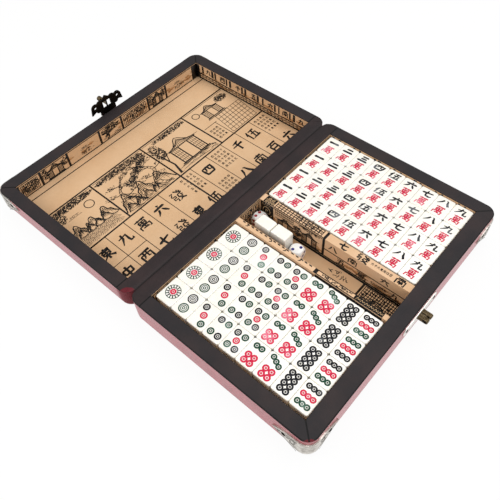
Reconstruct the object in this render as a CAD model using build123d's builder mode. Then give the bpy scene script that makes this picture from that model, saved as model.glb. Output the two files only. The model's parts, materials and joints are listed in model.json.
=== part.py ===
from build123d import *
from math import cos, radians, sin
import os

os.makedirs("parts", exist_ok=True)

# Tiles of a small travelling set, in millimetres: each layer has nine ranks with four copies of each
tile_width = 15.0
tile_length = 21.1
tile_thickness = 10.0
tile_corner_radius = 1.7
tile_edge_radius = 0.7
tile_gap = 0.1
layer_gap = 0.05
tile_columns = 9
tile_rows = 4
tile_layers = 2

# Clearances that the tile blocks have in their trays
rear_clearance = 1.3
front_clearance = 0.7
near_tray_outer_clearance = 2.65
near_tray_divider_clearance = 1.65
far_tray_outer_clearance = 0.45
far_tray_divider_clearance = 1.85
tile_drop = 2.0

# Thicknesses of the covered case
leather = 0.8
rim_leather = 1.0
board = 1.8
paper = 0.4

# Rims, dividers and the channel between the trays
base_rim_x = 12.6
base_rim_y = 11.5
lid_rim_x = 11.7
lid_rim_y = 11.0
near_divider_thickness = 4.2
far_divider_thickness = 7.0
divider_drop = 1.0
channel_width = 24.8

# Outside roundings
corner_radius = 9.0
bottom_edge_radius = 4.5
rim_outer_radius = 0.85
rim_inner_radius = 0.5
mitre_seam = 0.05

# The case follows from the tiles that it holds
interior_x = (
    tile_columns * tile_width + (tile_columns - 1) * tile_gap + rear_clearance + front_clearance
)
block_length = tile_rows * tile_length + (tile_rows - 1) * tile_gap
near_tray = block_length + near_tray_outer_clearance + near_tray_divider_clearance
far_tray = block_length + far_tray_outer_clearance + far_tray_divider_clearance
interior_y = (
    near_tray + near_divider_thickness + channel_width + far_divider_thickness + far_tray
)
case_width = interior_x + 2 * base_rim_x
case_length = interior_y + 2 * base_rim_y
floor_height = leather + board + paper
base_height = floor_height + tile_layers * tile_thickness + tile_drop
lid_height = 20.0

# The row's origin is the middle of the base's underside; the hinge line is the base's rear top edge
hinge_x = -case_width / 2
base_frame = Plane(origin=(hinge_x, 0, 0), x_dir=(1, 0, 0), z_dir=(0, 0, 1))
lid_frame = Plane(
    origin=(hinge_x, 0, base_height - lid_height), x_dir=(-1, 0, 0), z_dir=(0, 0, 1)
)

# Channel contents: two dice and two blank spare tiles that stand on end between them
die_size = 11.0
die_ball_radius = 7.2
die_edge_radius = 0.8
pip_radius = 1.1
pip_depth = 0.35
pip_step = 2.3
seat_gap = 0.3
first_die_turn = 0
second_die_turn = 8
first_spare_turn = -2
second_spare_turn = -1
die_row_y = 4.9
second_die_y = -1.9
spare_y = -3.2
near_divider_y = -interior_y / 2 + near_tray
channel_near_y = near_divider_y + near_divider_thickness
channel_far_y = channel_near_y + channel_width

# Metal corner guards at the front corners
guard_thickness = 0.9
guard_reach = 29.0
guard_bottom_reach = 9.0
guard_corner_height = 17.0
guard_hump_height = 19.5
guard_tip_height = 13.0
guard_ground_gap = 0.3
guard_waist_height = 5.5
guard_waist = 0.55
guard_hump = 0.45
guard_nail_reach = 20.0
guard_nail_height = 13.4

# Nails: domed heads on the metal, shanks driven into the walls
nail_head_radius = 1.4
nail_head_height = 0.45
nail_head_taper = 20
nail_shank_radius = 0.6
nail_shank_length = 6.0

# Front latch: a hinged hasp leaf on the lid drops over a two-cheeked staple on the base
latch_y = 6.0
pivot_drop = 4.0
pivot_stand = 2.2
pin_radius = 0.95
pin_clearance = 0.05
knuckle_radius = 1.9
knuckle_length = 8.6
side_knuckle_length = 4.0
knuckle_gap = 0.2
leaf_thickness = 1.4
stem_width = 17.0
slot_near = 8.0
slot_far = 14.6
bar_width = 1.0
slot_width = 3.8
slot_clearance = 0.35
cheek_near = 9.3
cheek_height = 3.6
cheek_length = 8.6
eye_radius = 1.1
eye_stand = 6.2
# Outline of the leaf's right half, from its middle and the hinge pin: cloud lobes (x, y, radius),
# the wing's points and the tip of the cloud; the eye is an opening in each wing
leaf_lobes = [(0, 12.6, 5.8), (6.6, 13.2, 4.5), (12.6, 12.8, 4.1), (9.8, 9.4, 2.8)]
leaf_wing = [(13.4, 16.0), (8.6, 8.4), (12.2, 9.2), (17.7, 7.2), (16.7, 12.6)]
leaf_tip = [(0, 20.1), (0, 17.0), (3.2, 17.4)]
leaf_eye = (12.6, 12.8, 1.3)
tongue_width = 0.9
tongue_reach = 9.4
peg_radius = 2.3
peg_reach = 13.7
peg_groove_depth = 0.3
peg_groove_width = 0.45
peg_groove_pitch = 1.1
peg_groove_start = 0.4
peg_edge_radius = 0.6
latch_plate_length = 42.0
latch_plate_height = 9.0
latch_plate_thickness = 0.9
latch_plate_radius = 3.0
latch_nail_spacing = 35.0
window_clearance = 0.1
hasp_plate_length = 27.0
hasp_plate_drop = 10.0
hasp_nail_spacing = 19.0
hasp_nail_drop = 6.4

cheek_far = cheek_near + cheek_height
eye_height = (cheek_near + cheek_far) / 2
cheek_inner = bar_width / 2 + slot_clearance
cheek_outer = bar_width / 2 + slot_width - slot_clearance
lid_front_x = hinge_x - case_width
base_front_x = hinge_x + case_width
pivot_z = base_height - pivot_drop
closed_pivot_z = base_height + pivot_drop
staple_z = closed_pivot_z - eye_height


class CaseHalf:
    """One half of the case, seen in its own frame: hinge at x = 0, front at +x, outer face at z = 0."""

    def __init__(self, name, frame, height, rim_x, rim_y, near_side):
        self.name = name
        self.frame = frame
        self.height = height
        self.rim_x = rim_x
        self.rim_y = rim_y
        self.near_side = near_side
        self.wall_top = height - rim_leather
        self.inner_x = case_width - 2 * rim_x
        self.inner_y = case_length - 2 * rim_y
        self.cavity_x = self.inner_x + 2 * paper
        self.cavity_y = self.inner_y + 2 * paper

    def prepare(self):
        self.shanks = nail_shanks(self)
        self.core = rounded_block(self, leather, self.wall_top)


base = CaseHalf("base", base_frame, base_height, base_rim_x, base_rim_y, -1)
lid = CaseHalf("lid", lid_frame, lid_height, lid_rim_x, lid_rim_y, 1)
middle = case_width / 2


def save(part, name):
    part.label = name
    export_step(part, f"parts/{name}.step")


def rounded_block(half, inset, top):
    """The half's rounded outline, inset all round, from its outer face up to a height."""
    with BuildPart() as block:
        with BuildSketch(half.frame.offset(inset)):
            with Locations((middle, 0)):
                RectangleRounded(
                    case_width - 2 * inset, case_length - 2 * inset, corner_radius - inset
                )
        extrude(amount=top - inset)
        fillet(block.faces().sort_by(Axis.Z)[0].edges(), bottom_edge_radius - inset)
    return block.part


def front_plane(half, y, height, stand):
    """A plane on the half's front face, facing outwards, at a row y and a height in the half."""
    outward = half.frame.x_dir
    front = half.frame.origin + outward * (case_width + stand)
    origin = (front.X, y, half.frame.origin.Z + height)
    return Plane(origin=origin, x_dir=(0, outward.X, 0), z_dir=(outward.X, 0, 0))


def side_plane(half, side, reach, height, stand):
    """A plane on a short side (side is the row's -1 or +1 in Y), reach back from the front face."""
    outward = half.frame.x_dir
    along = half.frame.origin + outward * (case_width - reach)
    origin = (along.X, side * (case_length / 2 + stand), half.frame.origin.Z + height)
    return Plane(origin=origin, x_dir=(-side, 0, 0), z_dir=(0, side, 0))


def guard_nail_planes(half, stand):
    nail_y = case_length / 2 - guard_nail_reach
    planes = [front_plane(half, side * nail_y, guard_nail_height, stand) for side in (-1, 1)]
    planes += [side_plane(half, side, guard_nail_reach, guard_nail_height, stand) for side in (-1, 1)]
    return planes


def base_latch_nail_planes(stand):
    height = staple_z
    spots = (latch_y - latch_nail_spacing / 2, latch_y + latch_nail_spacing / 2)
    return [front_plane(base, y, height, stand) for y in spots]


def lid_latch_nail_planes(stand):
    height = lid_height - pivot_drop - hasp_nail_drop
    spots = (latch_y - hasp_nail_spacing / 2, latch_y + hasp_nail_spacing / 2)
    return [front_plane(lid, y, height, stand) for y in spots]


def nail_planes(half):
    """Every nail of a half: its plane lies on the metal face that the head bears on."""
    latch = base_latch_nail_planes if half is base else lid_latch_nail_planes
    return guard_nail_planes(half, guard_thickness) + latch(latch_plate_thickness)


def nail_shanks(half):
    with BuildPart() as shanks:
        for plane in nail_planes(half):
            with BuildSketch(plane):
                Circle(nail_shank_radius)
            extrude(amount=-nail_shank_length)
    return shanks.part


def nails(half):
    with BuildPart() as nail_set:
        add(half.shanks)
        for plane in nail_planes(half):
            with BuildSketch(plane):
                Circle(nail_head_radius)
            extrude(amount=nail_head_height, taper=nail_head_taper)
    return nail_set.part


def floor_board(half):
    with BuildPart() as floor:
        with BuildSketch(half.frame.offset(leather)):
            with Locations((middle, 0)):
                Rectangle(half.cavity_x, half.cavity_y)
        extrude(amount=board)
    return floor.part


def wall(half, centre, size):
    """The part of the wooden frame that stands inside a rectangle given by centre and size."""
    with BuildPart() as frame_wall:
        add(half.core)
        with BuildSketch(half.frame):
            with Locations((middle, 0)):
                Rectangle(half.cavity_x, half.cavity_y)
        extrude(amount=half.height, mode=Mode.SUBTRACT)
        with BuildSketch(half.frame):
            with Locations(centre):
                Rectangle(*size)
        extrude(amount=half.height, mode=Mode.INTERSECT)
        add(half.shanks, mode=Mode.SUBTRACT)
    return frame_wall.part


def cross_wall(half, front):
    depth = (case_width - half.cavity_x) / 2
    x = case_width - depth / 2 if front else depth / 2
    return wall(half, (x, 0), (depth, case_length))


def end_wall(half, side):
    depth = (case_length - half.cavity_y) / 2
    return wall(half, (middle, side * (case_length - depth) / 2), (half.cavity_x, depth))


def flat_leather(half):
    """The sheet on the outer face, inside the rounded edge."""
    with BuildPart() as sheet:
        with BuildSketch(half.frame):
            with Locations((middle, 0)):
                RectangleRounded(
                    case_width - 2 * bottom_edge_radius,
                    case_length - 2 * bottom_edge_radius,
                    corner_radius - bottom_edge_radius,
                )
        extrude(amount=leather)
    return sheet.part


def side_leather(half):
    """The leather that wraps the four sides and rolls round the outer edge."""
    with BuildPart() as wrap:
        add(rounded_block(half, 0, half.wall_top))
        add(rounded_block(half, leather, half.wall_top + leather), mode=Mode.SUBTRACT)
        add(flat_leather(half), mode=Mode.SUBTRACT)
        add(half.shanks, mode=Mode.SUBTRACT)
    return wrap.part


def rim_strip(half, corners, rolled):
    """One mitred strip of rim leather; corners are its two outer and two inner corners."""
    with BuildPart() as strip:
        with BuildSketch(half.frame.offset(half.wall_top)):
            with Locations((middle, 0)):
                RectangleRounded(case_width, case_length, corner_radius)
                Rectangle(half.inner_x, half.inner_y, mode=Mode.SUBTRACT)
        extrude(amount=rim_leather)
        if rolled:
            top = strip.faces().sort_by(Axis.Z)[-1]
            fillet(top.outer_wire().edges(), rim_outer_radius)
        with BuildSketch(half.frame.offset(half.wall_top)):
            with BuildLine():
                Polyline(*corners, close=True)
            make_face()
        extrude(amount=rim_leather, mode=Mode.INTERSECT)
        centre = half.frame.from_local_coords((middle, 0, half.height))
        top = strip.faces().sort_by(Axis.Z)[-1]
        fillet(top.edges().filter_by(GeomType.LINE).sort_by_distance(centre)[0], rim_inner_radius)
    return strip.part


def rim_corners(half):
    """Outer and inner corners of the rim, in the half's frame: rear low, front low, front high, rear high."""
    outer_y = case_length / 2
    inner_y = half.inner_y / 2
    outer = [(0, -outer_y), (case_width, -outer_y), (case_width, outer_y), (0, outer_y)]
    low_x, high_x = half.rim_x, case_width - half.rim_x
    inner = [(low_x, -inner_y), (high_x, -inner_y), (high_x, inner_y), (low_x, inner_y)]
    return outer, inner


def shortened(points):
    """An end strip's corners, drawn in along X so that thin seams are left at its mitres."""
    return [(x + (mitre_seam if x < middle else -mitre_seam), y) for x, y in points]


def rim_cover(half):
    """The three rolled strips on the front and the two ends."""
    outer, inner = rim_corners(half)
    with BuildPart() as cover:
        add(rim_strip(half, shortened([outer[0], outer[1], inner[1], inner[0]]), True))
        add(rim_strip(half, [outer[1], outer[2], inner[2], inner[1]], True))
        add(rim_strip(half, shortened([outer[2], outer[3], inner[3], inner[2]]), True))
    return cover.part


def hinge_leather(half):
    """The rear strip, which is the half of the leather hinge that lies on this half's rim."""
    outer, inner = rim_corners(half)
    return rim_strip(half, [outer[3], outer[0], inner[0], inner[3]], False)


def paper_lining(half):
    with BuildPart() as lining:
        with BuildSketch(half.frame.offset(leather + board)):
            with Locations((middle, 0)):
                Rectangle(half.cavity_x, half.cavity_y)
        extrude(amount=half.wall_top - leather - board)
        with BuildSketch(half.frame.offset(floor_height)):
            with Locations((middle, 0)):
                Rectangle(half.inner_x, half.inner_y)
        extrude(amount=half.height, mode=Mode.SUBTRACT)
    return lining.part


def wing(plane, toward_corner):
    """The outline of one guard wing on a wall; toward_corner is the sketch direction of the corner."""
    reach = -toward_corner * guard_reach
    over = toward_corner * (guard_thickness + 1)
    bottom = -toward_corner * guard_bottom_reach
    waist = -toward_corner * guard_reach * guard_waist
    hump = -toward_corner * guard_reach * guard_hump
    with BuildSketch(plane) as outline:
        with BuildLine():
            Polyline(
                (over, guard_corner_height),
                (over, guard_ground_gap),
                (bottom, guard_ground_gap),
            )
            ThreePointArc(
                (bottom, guard_ground_gap), (waist, guard_waist_height), (reach, guard_tip_height)
            )
            ThreePointArc(
                (reach, guard_tip_height), (hump, guard_hump_height), (over, guard_corner_height)
            )
        make_face()
    return outline.sketch


def corner_guard(half, side):
    """One pressed guard that wraps a front corner and the rounded edge under it."""
    depth = corner_radius + guard_thickness
    end = side_plane(half, side, 0, 0, guard_thickness)
    front = front_plane(half, side * case_length / 2, 0, guard_thickness)
    outward = half.frame.x_dir.X
    with BuildPart() as wings:
        extrude(wing(end, -side * outward), amount=depth, dir=end.z_dir * -1)
        extrude(wing(front, side * outward), amount=depth, dir=front.z_dir * -1)
    with BuildPart() as guard:
        add(rounded_block(half, -guard_thickness, half.wall_top))
        add(rounded_block(half, 0, half.height), mode=Mode.SUBTRACT)
        add(wings.part, mode=Mode.INTERSECT)
        add(half.shanks, mode=Mode.SUBTRACT)
    return guard.part


def corner_guards(half):
    with BuildPart() as guards:
        for side in (-1, 1):
            add(corner_guard(half, side))
    return guards.part


def make_case_half(half):
    save(floor_board(half), "base_floor_board" if half is base else "lid_top_board")
    save(cross_wall(half, True), f"{half.name}_front_wall")
    save(cross_wall(half, False), f"{half.name}_rear_wall")
    save(end_wall(half, half.near_side), f"{half.name}_near_wall")
    save(end_wall(half, -half.near_side), f"{half.name}_far_wall")
    save(flat_leather(half), "base_bottom_leather" if half is base else "lid_top_leather")
    save(side_leather(half), f"{half.name}_side_leather")
    save(rim_cover(half), f"{half.name}_rim_leather")
    save(hinge_leather(half), f"{half.name}_hinge_leather")
    save(paper_lining(half), f"{half.name}_paper_lining")
    save(corner_guards(half), f"{half.name}_corner_guards")
    save(nails(half), f"{half.name}_nails")


def divider(low_y, thickness):
    with BuildPart() as strip:
        with BuildSketch(base.frame.offset(floor_height)):
            with Locations((middle, low_y + thickness / 2)):
                Rectangle(base.inner_x, thickness)
        extrude(amount=base_height - divider_drop - floor_height)
    return strip.part


def base_latch_plate():
    face = front_plane(base, latch_y, staple_z, 0)
    with BuildPart() as plate:
        with BuildSketch(face):
            RectangleRounded(latch_plate_length, latch_plate_height, latch_plate_radius)
            Rectangle(
                2 * cheek_outer + 2 * window_clearance,
                cheek_height + 2 * window_clearance,
                mode=Mode.SUBTRACT,
            )
        extrude(amount=latch_plate_thickness)
        add(base.shanks, mode=Mode.SUBTRACT)
    return plate.part


def base_staple():
    """Two cheeks with rounded ends on one foot, drilled across for a lock or a pin."""
    side = Plane(origin=(base_front_x, latch_y, staple_z), x_dir=(1, 0, 0), z_dir=(0, -1, 0))
    round_centre = cheek_length - cheek_height / 2
    with BuildPart() as staple:
        with BuildSketch(side):
            with Locations((round_centre / 2, 0)):
                Rectangle(round_centre, cheek_height)
            with Locations((round_centre, 0)):
                Circle(cheek_height / 2)
            with Locations((eye_stand, 0)):
                Circle(eye_radius, mode=Mode.SUBTRACT)
        extrude(amount=cheek_outer, both=True)
        with BuildSketch(side):
            with Locations((latch_plate_thickness + cheek_length / 2, 0)):
                Rectangle(cheek_length, cheek_height)
        extrude(amount=cheek_inner, both=True, mode=Mode.SUBTRACT)
    return staple.part


def hasp_plate():
    """The fixed plate on the lid, with the two outer knuckles of the hasp's hinge."""
    face = front_plane(lid, latch_y, lid_height - pivot_drop, 0)
    knuckle_side = (knuckle_length + side_knuckle_length) / 2 + knuckle_gap
    span = knuckle_length + 2 * (side_knuckle_length + knuckle_gap)
    clear_drop = knuckle_radius + 2 * knuckle_gap
    with BuildPart() as plate:
        with BuildSketch(face):
            with Locations((0, -(hasp_plate_drop + clear_drop) / 2)):
                RectangleRounded(
                    hasp_plate_length, hasp_plate_drop - clear_drop, latch_plate_radius
                )
            with Locations((-knuckle_side, -clear_drop), (knuckle_side, -clear_drop)):
                Rectangle(side_knuckle_length, 2 * clear_drop)
        extrude(amount=latch_plate_thickness)
        with BuildSketch(hinge_section()):
            Circle(knuckle_radius)
        extrude(amount=span / 2, both=True)
        with BuildSketch(hinge_section()):
            Circle(knuckle_radius + knuckle_gap)
        extrude(amount=knuckle_length / 2 + knuckle_gap, both=True, mode=Mode.SUBTRACT)
        with BuildSketch(hinge_section()):
            Circle(pin_radius)
        extrude(amount=span / 2, both=True, mode=Mode.SUBTRACT)
        add(lid.shanks, mode=Mode.SUBTRACT)
    return plate.part


def hinge_section():
    """The plane across the hasp's hinge pin, at the middle of its length."""
    pivot = (lid_front_x - pivot_stand, latch_y, pivot_z)
    return Plane(origin=pivot, x_dir=(-1, 0, 0), z_dir=(0, 1, 0))


def hasp_pin():
    span = knuckle_length + 2 * (side_knuckle_length + knuckle_gap)
    with BuildPart() as pin:
        with BuildSketch(hinge_section()):
            Circle(pin_radius)
        extrude(amount=span / 2, both=True)
    return pin.part


def leaf_outline():
    """Half of the winged cloud outline, mirrored about the leaf's middle."""
    stem_low = knuckle_radius + 2 * knuckle_gap
    with BuildSketch() as outline:
        with Locations((stem_width / 4, (stem_low + slot_near) / 2)):
            Rectangle(stem_width / 2, slot_near - stem_low)
        for x, y, radius in leaf_lobes:
            with Locations((x, y)):
                Circle(radius)
        for points in (leaf_wing, leaf_tip):
            with BuildLine():
                Polyline(*points, close=True)
            make_face()
        split(bisect_by=Plane.YZ, keep=Keep.TOP)
        mirror(about=Plane.YZ)
    return outline.sketch


def hasp_leaf():
    """The swinging leaf: knuckle, stem, openwork wings and the two slots that pass the cheeks."""
    face = front_plane(lid, latch_y, lid_height - pivot_drop, pivot_stand - leaf_thickness / 2)
    slot_x = (bar_width + slot_width) / 2
    eye_x, eye_y, eye_hole = leaf_eye
    with BuildPart() as leaf:
        with BuildSketch(face):
            add(leaf_outline())
            with Locations((0, slot_near / 2)):
                Rectangle(knuckle_length, slot_near)
            with Locations((-slot_x, (slot_near + slot_far) / 2), (slot_x, (slot_near + slot_far) / 2)):
                Rectangle(slot_width, slot_far - slot_near, mode=Mode.SUBTRACT)
            with Locations((-eye_x, eye_y), (eye_x, eye_y)):
                Circle(eye_hole, mode=Mode.SUBTRACT)
        extrude(amount=leaf_thickness)
        with BuildSketch(hinge_section()):
            Circle(knuckle_radius)
        extrude(amount=knuckle_length / 2, both=True)
        with BuildSketch(hinge_section()):
            Circle(pin_radius + pin_clearance)
        extrude(amount=knuckle_length, both=True, mode=Mode.SUBTRACT)
    return leaf.part


def hasp_peg():
    """The pull peg: a flat tongue with an eye, between the cheeks when shut, and a grooved head."""
    leaf_face = pivot_stand + leaf_thickness / 2
    root = front_plane(lid, latch_y, lid_height - pivot_drop + eye_height, leaf_face)
    across = Plane(
        origin=(lid_front_x, latch_y, pivot_z + eye_height), x_dir=(-1, 0, 0), z_dir=(0, 1, 0)
    )
    groove_count = int((peg_reach - tongue_reach) / peg_groove_pitch)
    with BuildPart() as peg:
        with BuildSketch(root):
            Rectangle(tongue_width, cheek_height)
        extrude(amount=tongue_reach - leaf_face)
        with BuildSketch(root.offset(tongue_reach - leaf_face)):
            Circle(peg_radius)
        extrude(amount=peg_reach - tongue_reach)
        fillet(peg.faces().sort_by(Axis.X)[0].edges(), peg_edge_radius)
        for groove in range(groove_count):
            start = tongue_reach - leaf_face + peg_groove_pitch * (groove + peg_groove_start)
            with BuildSketch(root.offset(start)):
                Circle(peg_radius + 1)
                Circle(peg_radius - peg_groove_depth, mode=Mode.SUBTRACT)
            extrude(amount=peg_groove_width, mode=Mode.SUBTRACT)
        with BuildSketch(across):
            with Locations((eye_stand, 0)):
                Circle(eye_radius)
        extrude(amount=tongue_width, both=True, mode=Mode.SUBTRACT)
    return peg.part


def tile_grid(level, low_y, columns, rows):
    """Loose tiles that lie face up in a tray, at the given layer, columns and rows."""
    first_x = base_rim_x + rear_clearance + tile_width / 2
    first_y = low_y + tile_length / 2
    height = floor_height + level * (tile_thickness + layer_gap)
    with BuildPart() as tiles:
        with BuildSketch(base.frame.offset(height)):
            for column in columns:
                for row in rows:
                    x = first_x + column * (tile_width + tile_gap)
                    y = first_y + row * (tile_length + tile_gap)
                    with Locations((x, y)):
                        RectangleRounded(tile_width, tile_length, tile_corner_radius)
        extrude(amount=tile_thickness)
        fillet(tiles.faces().filter_by(Axis.Z).edges(), tile_edge_radius)
    return tiles.part


def half_span(width, depth, turn):
    """Half of the length along X that an upright block takes up when it is turned about Z."""
    return (width * cos(radians(abs(turn))) + depth * sin(radians(abs(turn)))) / 2


def spare_tile(centre_x, turn):
    """A blank tile that stands on its short end in the channel."""
    turned = base.frame.rotated((0, 0, turn))
    seat = base.frame.offset(floor_height).from_local_coords((centre_x, spare_y, 0))
    across = Axis((0, 0, 0), turned.y_dir)
    with BuildPart() as tile:
        with BuildSketch(Plane(origin=seat, x_dir=turned.x_dir, z_dir=(0, 0, 1))):
            Rectangle(tile_width, tile_thickness)
        extrude(amount=tile_length)
        fillet(tile.edges().filter_by(across), tile_corner_radius)
        broad = tile.faces().sort_by(across)
        fillet(broad[0].edges() + broad[-1].edges(), tile_edge_radius)
    return tile.part


def pip_spots(count):
    """Where the pips of one face lie, in steps from its middle."""
    layout = {
        1: [(0, 0)],
        2: [(-1, -1), (1, 1)],
        3: [(-1, -1), (0, 0), (1, 1)],
        4: [(-1, -1), (-1, 1), (1, -1), (1, 1)],
        5: [(-1, -1), (-1, 1), (0, 0), (1, -1), (1, 1)],
        6: [(-1, -1), (-1, 0), (-1, 1), (1, -1), (1, 0), (1, 1)],
    }
    return [(x * pip_step, y * pip_step) for x, y in layout[count]]


def die(centre_x, centre_y, turn, top, front, side):
    """A cube rounded by a ball, with shallow pips; opposite faces add up to seven."""
    seat = base.frame.offset(floor_height).from_local_coords((centre_x, centre_y, die_size / 2))
    turned = base.frame.rotated((0, 0, turn))
    x_dir, y_dir, z_dir = turned.x_dir, turned.y_dir, turned.z_dir
    faces = [
        (z_dir, x_dir, top), (z_dir * -1, x_dir, 7 - top),
        (x_dir, y_dir, front), (x_dir * -1, y_dir, 7 - front),
        (y_dir, z_dir, side), (y_dir * -1, z_dir, 7 - side),
    ]
    ball = (pip_radius**2 + pip_depth**2) / (2 * pip_depth)
    with BuildPart() as cube:
        with BuildSketch(Plane(origin=seat, x_dir=x_dir, z_dir=z_dir)):
            Rectangle(die_size, die_size)
        extrude(amount=die_size / 2, both=True)
        with Locations(Plane(origin=seat, x_dir=x_dir, z_dir=z_dir)):
            Sphere(die_ball_radius, mode=Mode.INTERSECT)
        fillet(cube.edges().filter_by(GeomType.CIRCLE), die_edge_radius)
        for outward, across, count in faces:
            surface = Plane(origin=seat + outward * (die_size / 2), x_dir=across, z_dir=outward)
            with Locations(surface.offset(ball - pip_depth)):
                with Locations(*pip_spots(count)):
                    Sphere(ball, mode=Mode.SUBTRACT)
    return cube.part


base.prepare()
lid.prepare()
make_case_half(base)
make_case_half(lid)

save(divider(near_divider_y, near_divider_thickness), "near_divider")
save(divider(channel_far_y, far_divider_thickness), "far_divider")

save(base_latch_plate(), "base_latch_plate")
save(base_staple(), "base_staple")
save(hasp_plate(), "lid_hasp_plate")
save(hasp_pin(), "hasp_pin")
save(hasp_leaf(), "hasp_leaf")
save(hasp_peg(), "hasp_peg")

near_tiles_y = -interior_y / 2 + near_tray_outer_clearance
far_tiles_y = channel_far_y + far_divider_thickness + far_tray_divider_clearance
top_layer = tile_layers - 1
all_rows = range(tile_rows)
for column in range(tile_columns):
    save(tile_grid(top_layer, near_tiles_y, [column], all_rows), f"dots_{column + 1}")
    save(tile_grid(top_layer, far_tiles_y, [column], all_rows), f"characters_{column + 1}")
save(tile_grid(0, near_tiles_y, range(tile_columns), all_rows), "bamboo_tiles")
save(tile_grid(0, far_tiles_y, range(0, 4), all_rows), "wind_tiles")
save(tile_grid(0, far_tiles_y, range(4, 7), all_rows), "dragon_tiles")
save(tile_grid(0, far_tiles_y, range(7, tile_columns), all_rows), "flower_tiles")

first_die_x = base_rim_x + seat_gap + half_span(die_size, die_size, first_die_turn)
first_spare_half = half_span(tile_width, tile_thickness, first_spare_turn)
second_spare_half = half_span(tile_width, tile_thickness, second_spare_turn)
second_die_half = half_span(die_size, die_size, second_die_turn)
first_spare_x = first_die_x + die_size / 2 + seat_gap + first_spare_half
second_spare_x = first_spare_x + first_spare_half + seat_gap + second_spare_half
second_die_x = second_spare_x + second_spare_half + seat_gap + second_die_half
save(die(first_die_x, die_row_y, first_die_turn, 4, 5, 1), "first_die")
save(spare_tile(first_spare_x, first_spare_turn), "first_spare_tile")
save(spare_tile(second_spare_x, second_spare_turn), "second_spare_tile")
save(die(second_die_x, second_die_y, second_die_turn, 2, 3, 1), "second_die")
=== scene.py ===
import json
import random
from math import cos, hypot, pi, radians, sin, sqrt

import bpy
from mathutils import Matrix, Vector

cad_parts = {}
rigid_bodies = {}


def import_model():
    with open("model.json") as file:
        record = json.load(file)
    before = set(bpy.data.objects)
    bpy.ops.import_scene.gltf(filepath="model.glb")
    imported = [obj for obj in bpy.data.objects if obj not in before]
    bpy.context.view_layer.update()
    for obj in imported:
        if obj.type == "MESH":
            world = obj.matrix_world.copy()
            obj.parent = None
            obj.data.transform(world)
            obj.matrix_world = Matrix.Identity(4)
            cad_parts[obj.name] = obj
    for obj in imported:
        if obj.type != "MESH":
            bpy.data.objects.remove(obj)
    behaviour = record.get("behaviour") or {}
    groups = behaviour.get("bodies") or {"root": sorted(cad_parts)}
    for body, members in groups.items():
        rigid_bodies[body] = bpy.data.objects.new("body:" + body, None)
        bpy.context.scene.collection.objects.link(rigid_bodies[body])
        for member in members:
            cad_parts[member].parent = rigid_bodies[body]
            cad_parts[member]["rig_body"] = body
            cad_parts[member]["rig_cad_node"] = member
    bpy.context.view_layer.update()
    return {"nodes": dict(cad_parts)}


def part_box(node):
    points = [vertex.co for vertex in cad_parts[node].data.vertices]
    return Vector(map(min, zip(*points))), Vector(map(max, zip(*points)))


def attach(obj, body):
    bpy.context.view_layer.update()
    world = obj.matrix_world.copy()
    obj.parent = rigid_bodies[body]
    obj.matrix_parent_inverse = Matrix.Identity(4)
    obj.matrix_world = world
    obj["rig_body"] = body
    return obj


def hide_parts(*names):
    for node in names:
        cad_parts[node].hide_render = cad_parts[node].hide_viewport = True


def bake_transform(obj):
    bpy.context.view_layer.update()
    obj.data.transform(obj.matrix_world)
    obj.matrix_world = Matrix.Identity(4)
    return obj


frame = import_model()
nodes = frame["nodes"]
print("frame loaded:", len(nodes), "nodes")

# Lengths in this file are millimetres, and mm turns them into Blender's metres
mm = 0.001


def edges(node, inset=0.0):
    # a node's lowest and highest corner, to the hundredth, both drawn in by inset
    low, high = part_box(node)
    return [round(c / mm + inset, 2) for c in low], [round(c / mm - inset, 2) for c in high]


def caseLines():
    low, high = edges("base_side_leather")
    stapleLow, stapleHigh = edges("base_staple")
    return {"hingeX": low[0], "halfX": (high[0] - low[0]) / 2, "halfY": high[1], "cornerR": 9.0,
            "rim": edges("base_rim_leather")[1][2], "latchY": (stapleLow[1] + stapleHigh[1]) / 2}


def roomInside(half, frontWay, paperThick=0.4):
    # the space that the printed paper shuts in; frontWay is where the front lies from the middle
    low, high = edges(f"{half}_paper_lining", paperThick)
    return {"middleX": (low[0] + high[0]) / 2, "frontWay": frontWay, "insideX": (high[0] - low[0]) / 2,
            "insideY": high[1], "floor": low[2], "wall": high[2] - low[2],
            "foot": edges(f"{half}_side_leather")[0][2]}


def tileLines():
    # the spare tile stands upright, so its height is a tile's length
    low, high = edges("dots_1")
    spareLow, spareHigh = edges("first_spare_tile")
    tileLong = spareHigh[2] - spareLow[2]
    columns, rows = 9, 4
    return {"columns": columns, "rows": rows,
            "pitchX": edges("dots_2")[0][0] - low[0], "pitchY": (high[1] - low[1] - tileLong) / (rows - 1),
            "firstX": (low[0] + high[0]) / 2, "nearY": low[1] + tileLong / 2,
            "farY": edges("characters_1")[0][1] + tileLong / 2,
            "tops": (edges("bamboo_tiles")[1][2], high[2])}


caseSize = caseLines()
halves = {"base": roomInside("base", 1), "lid": roomInside("lid", -1)}
tileGrid = tileLines()


def alongX(half, reach):
    # x at a distance from the middle of a case half, counted towards its front
    return halves[half]["middleX"] + halves[half]["frontWay"] * reach


def srgb(code):
    # a colour written as on a paint card, turned into Blender's linear numbers
    parts = [int(code[i:i + 2], 16) / 255 for i in (0, 2, 4)]
    return [c / 12.92 if c <= 0.04045 else ((c + 0.055) / 1.055) ** 2.4 for c in parts] + [1.0]


# Shader sums written as Python sums

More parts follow.
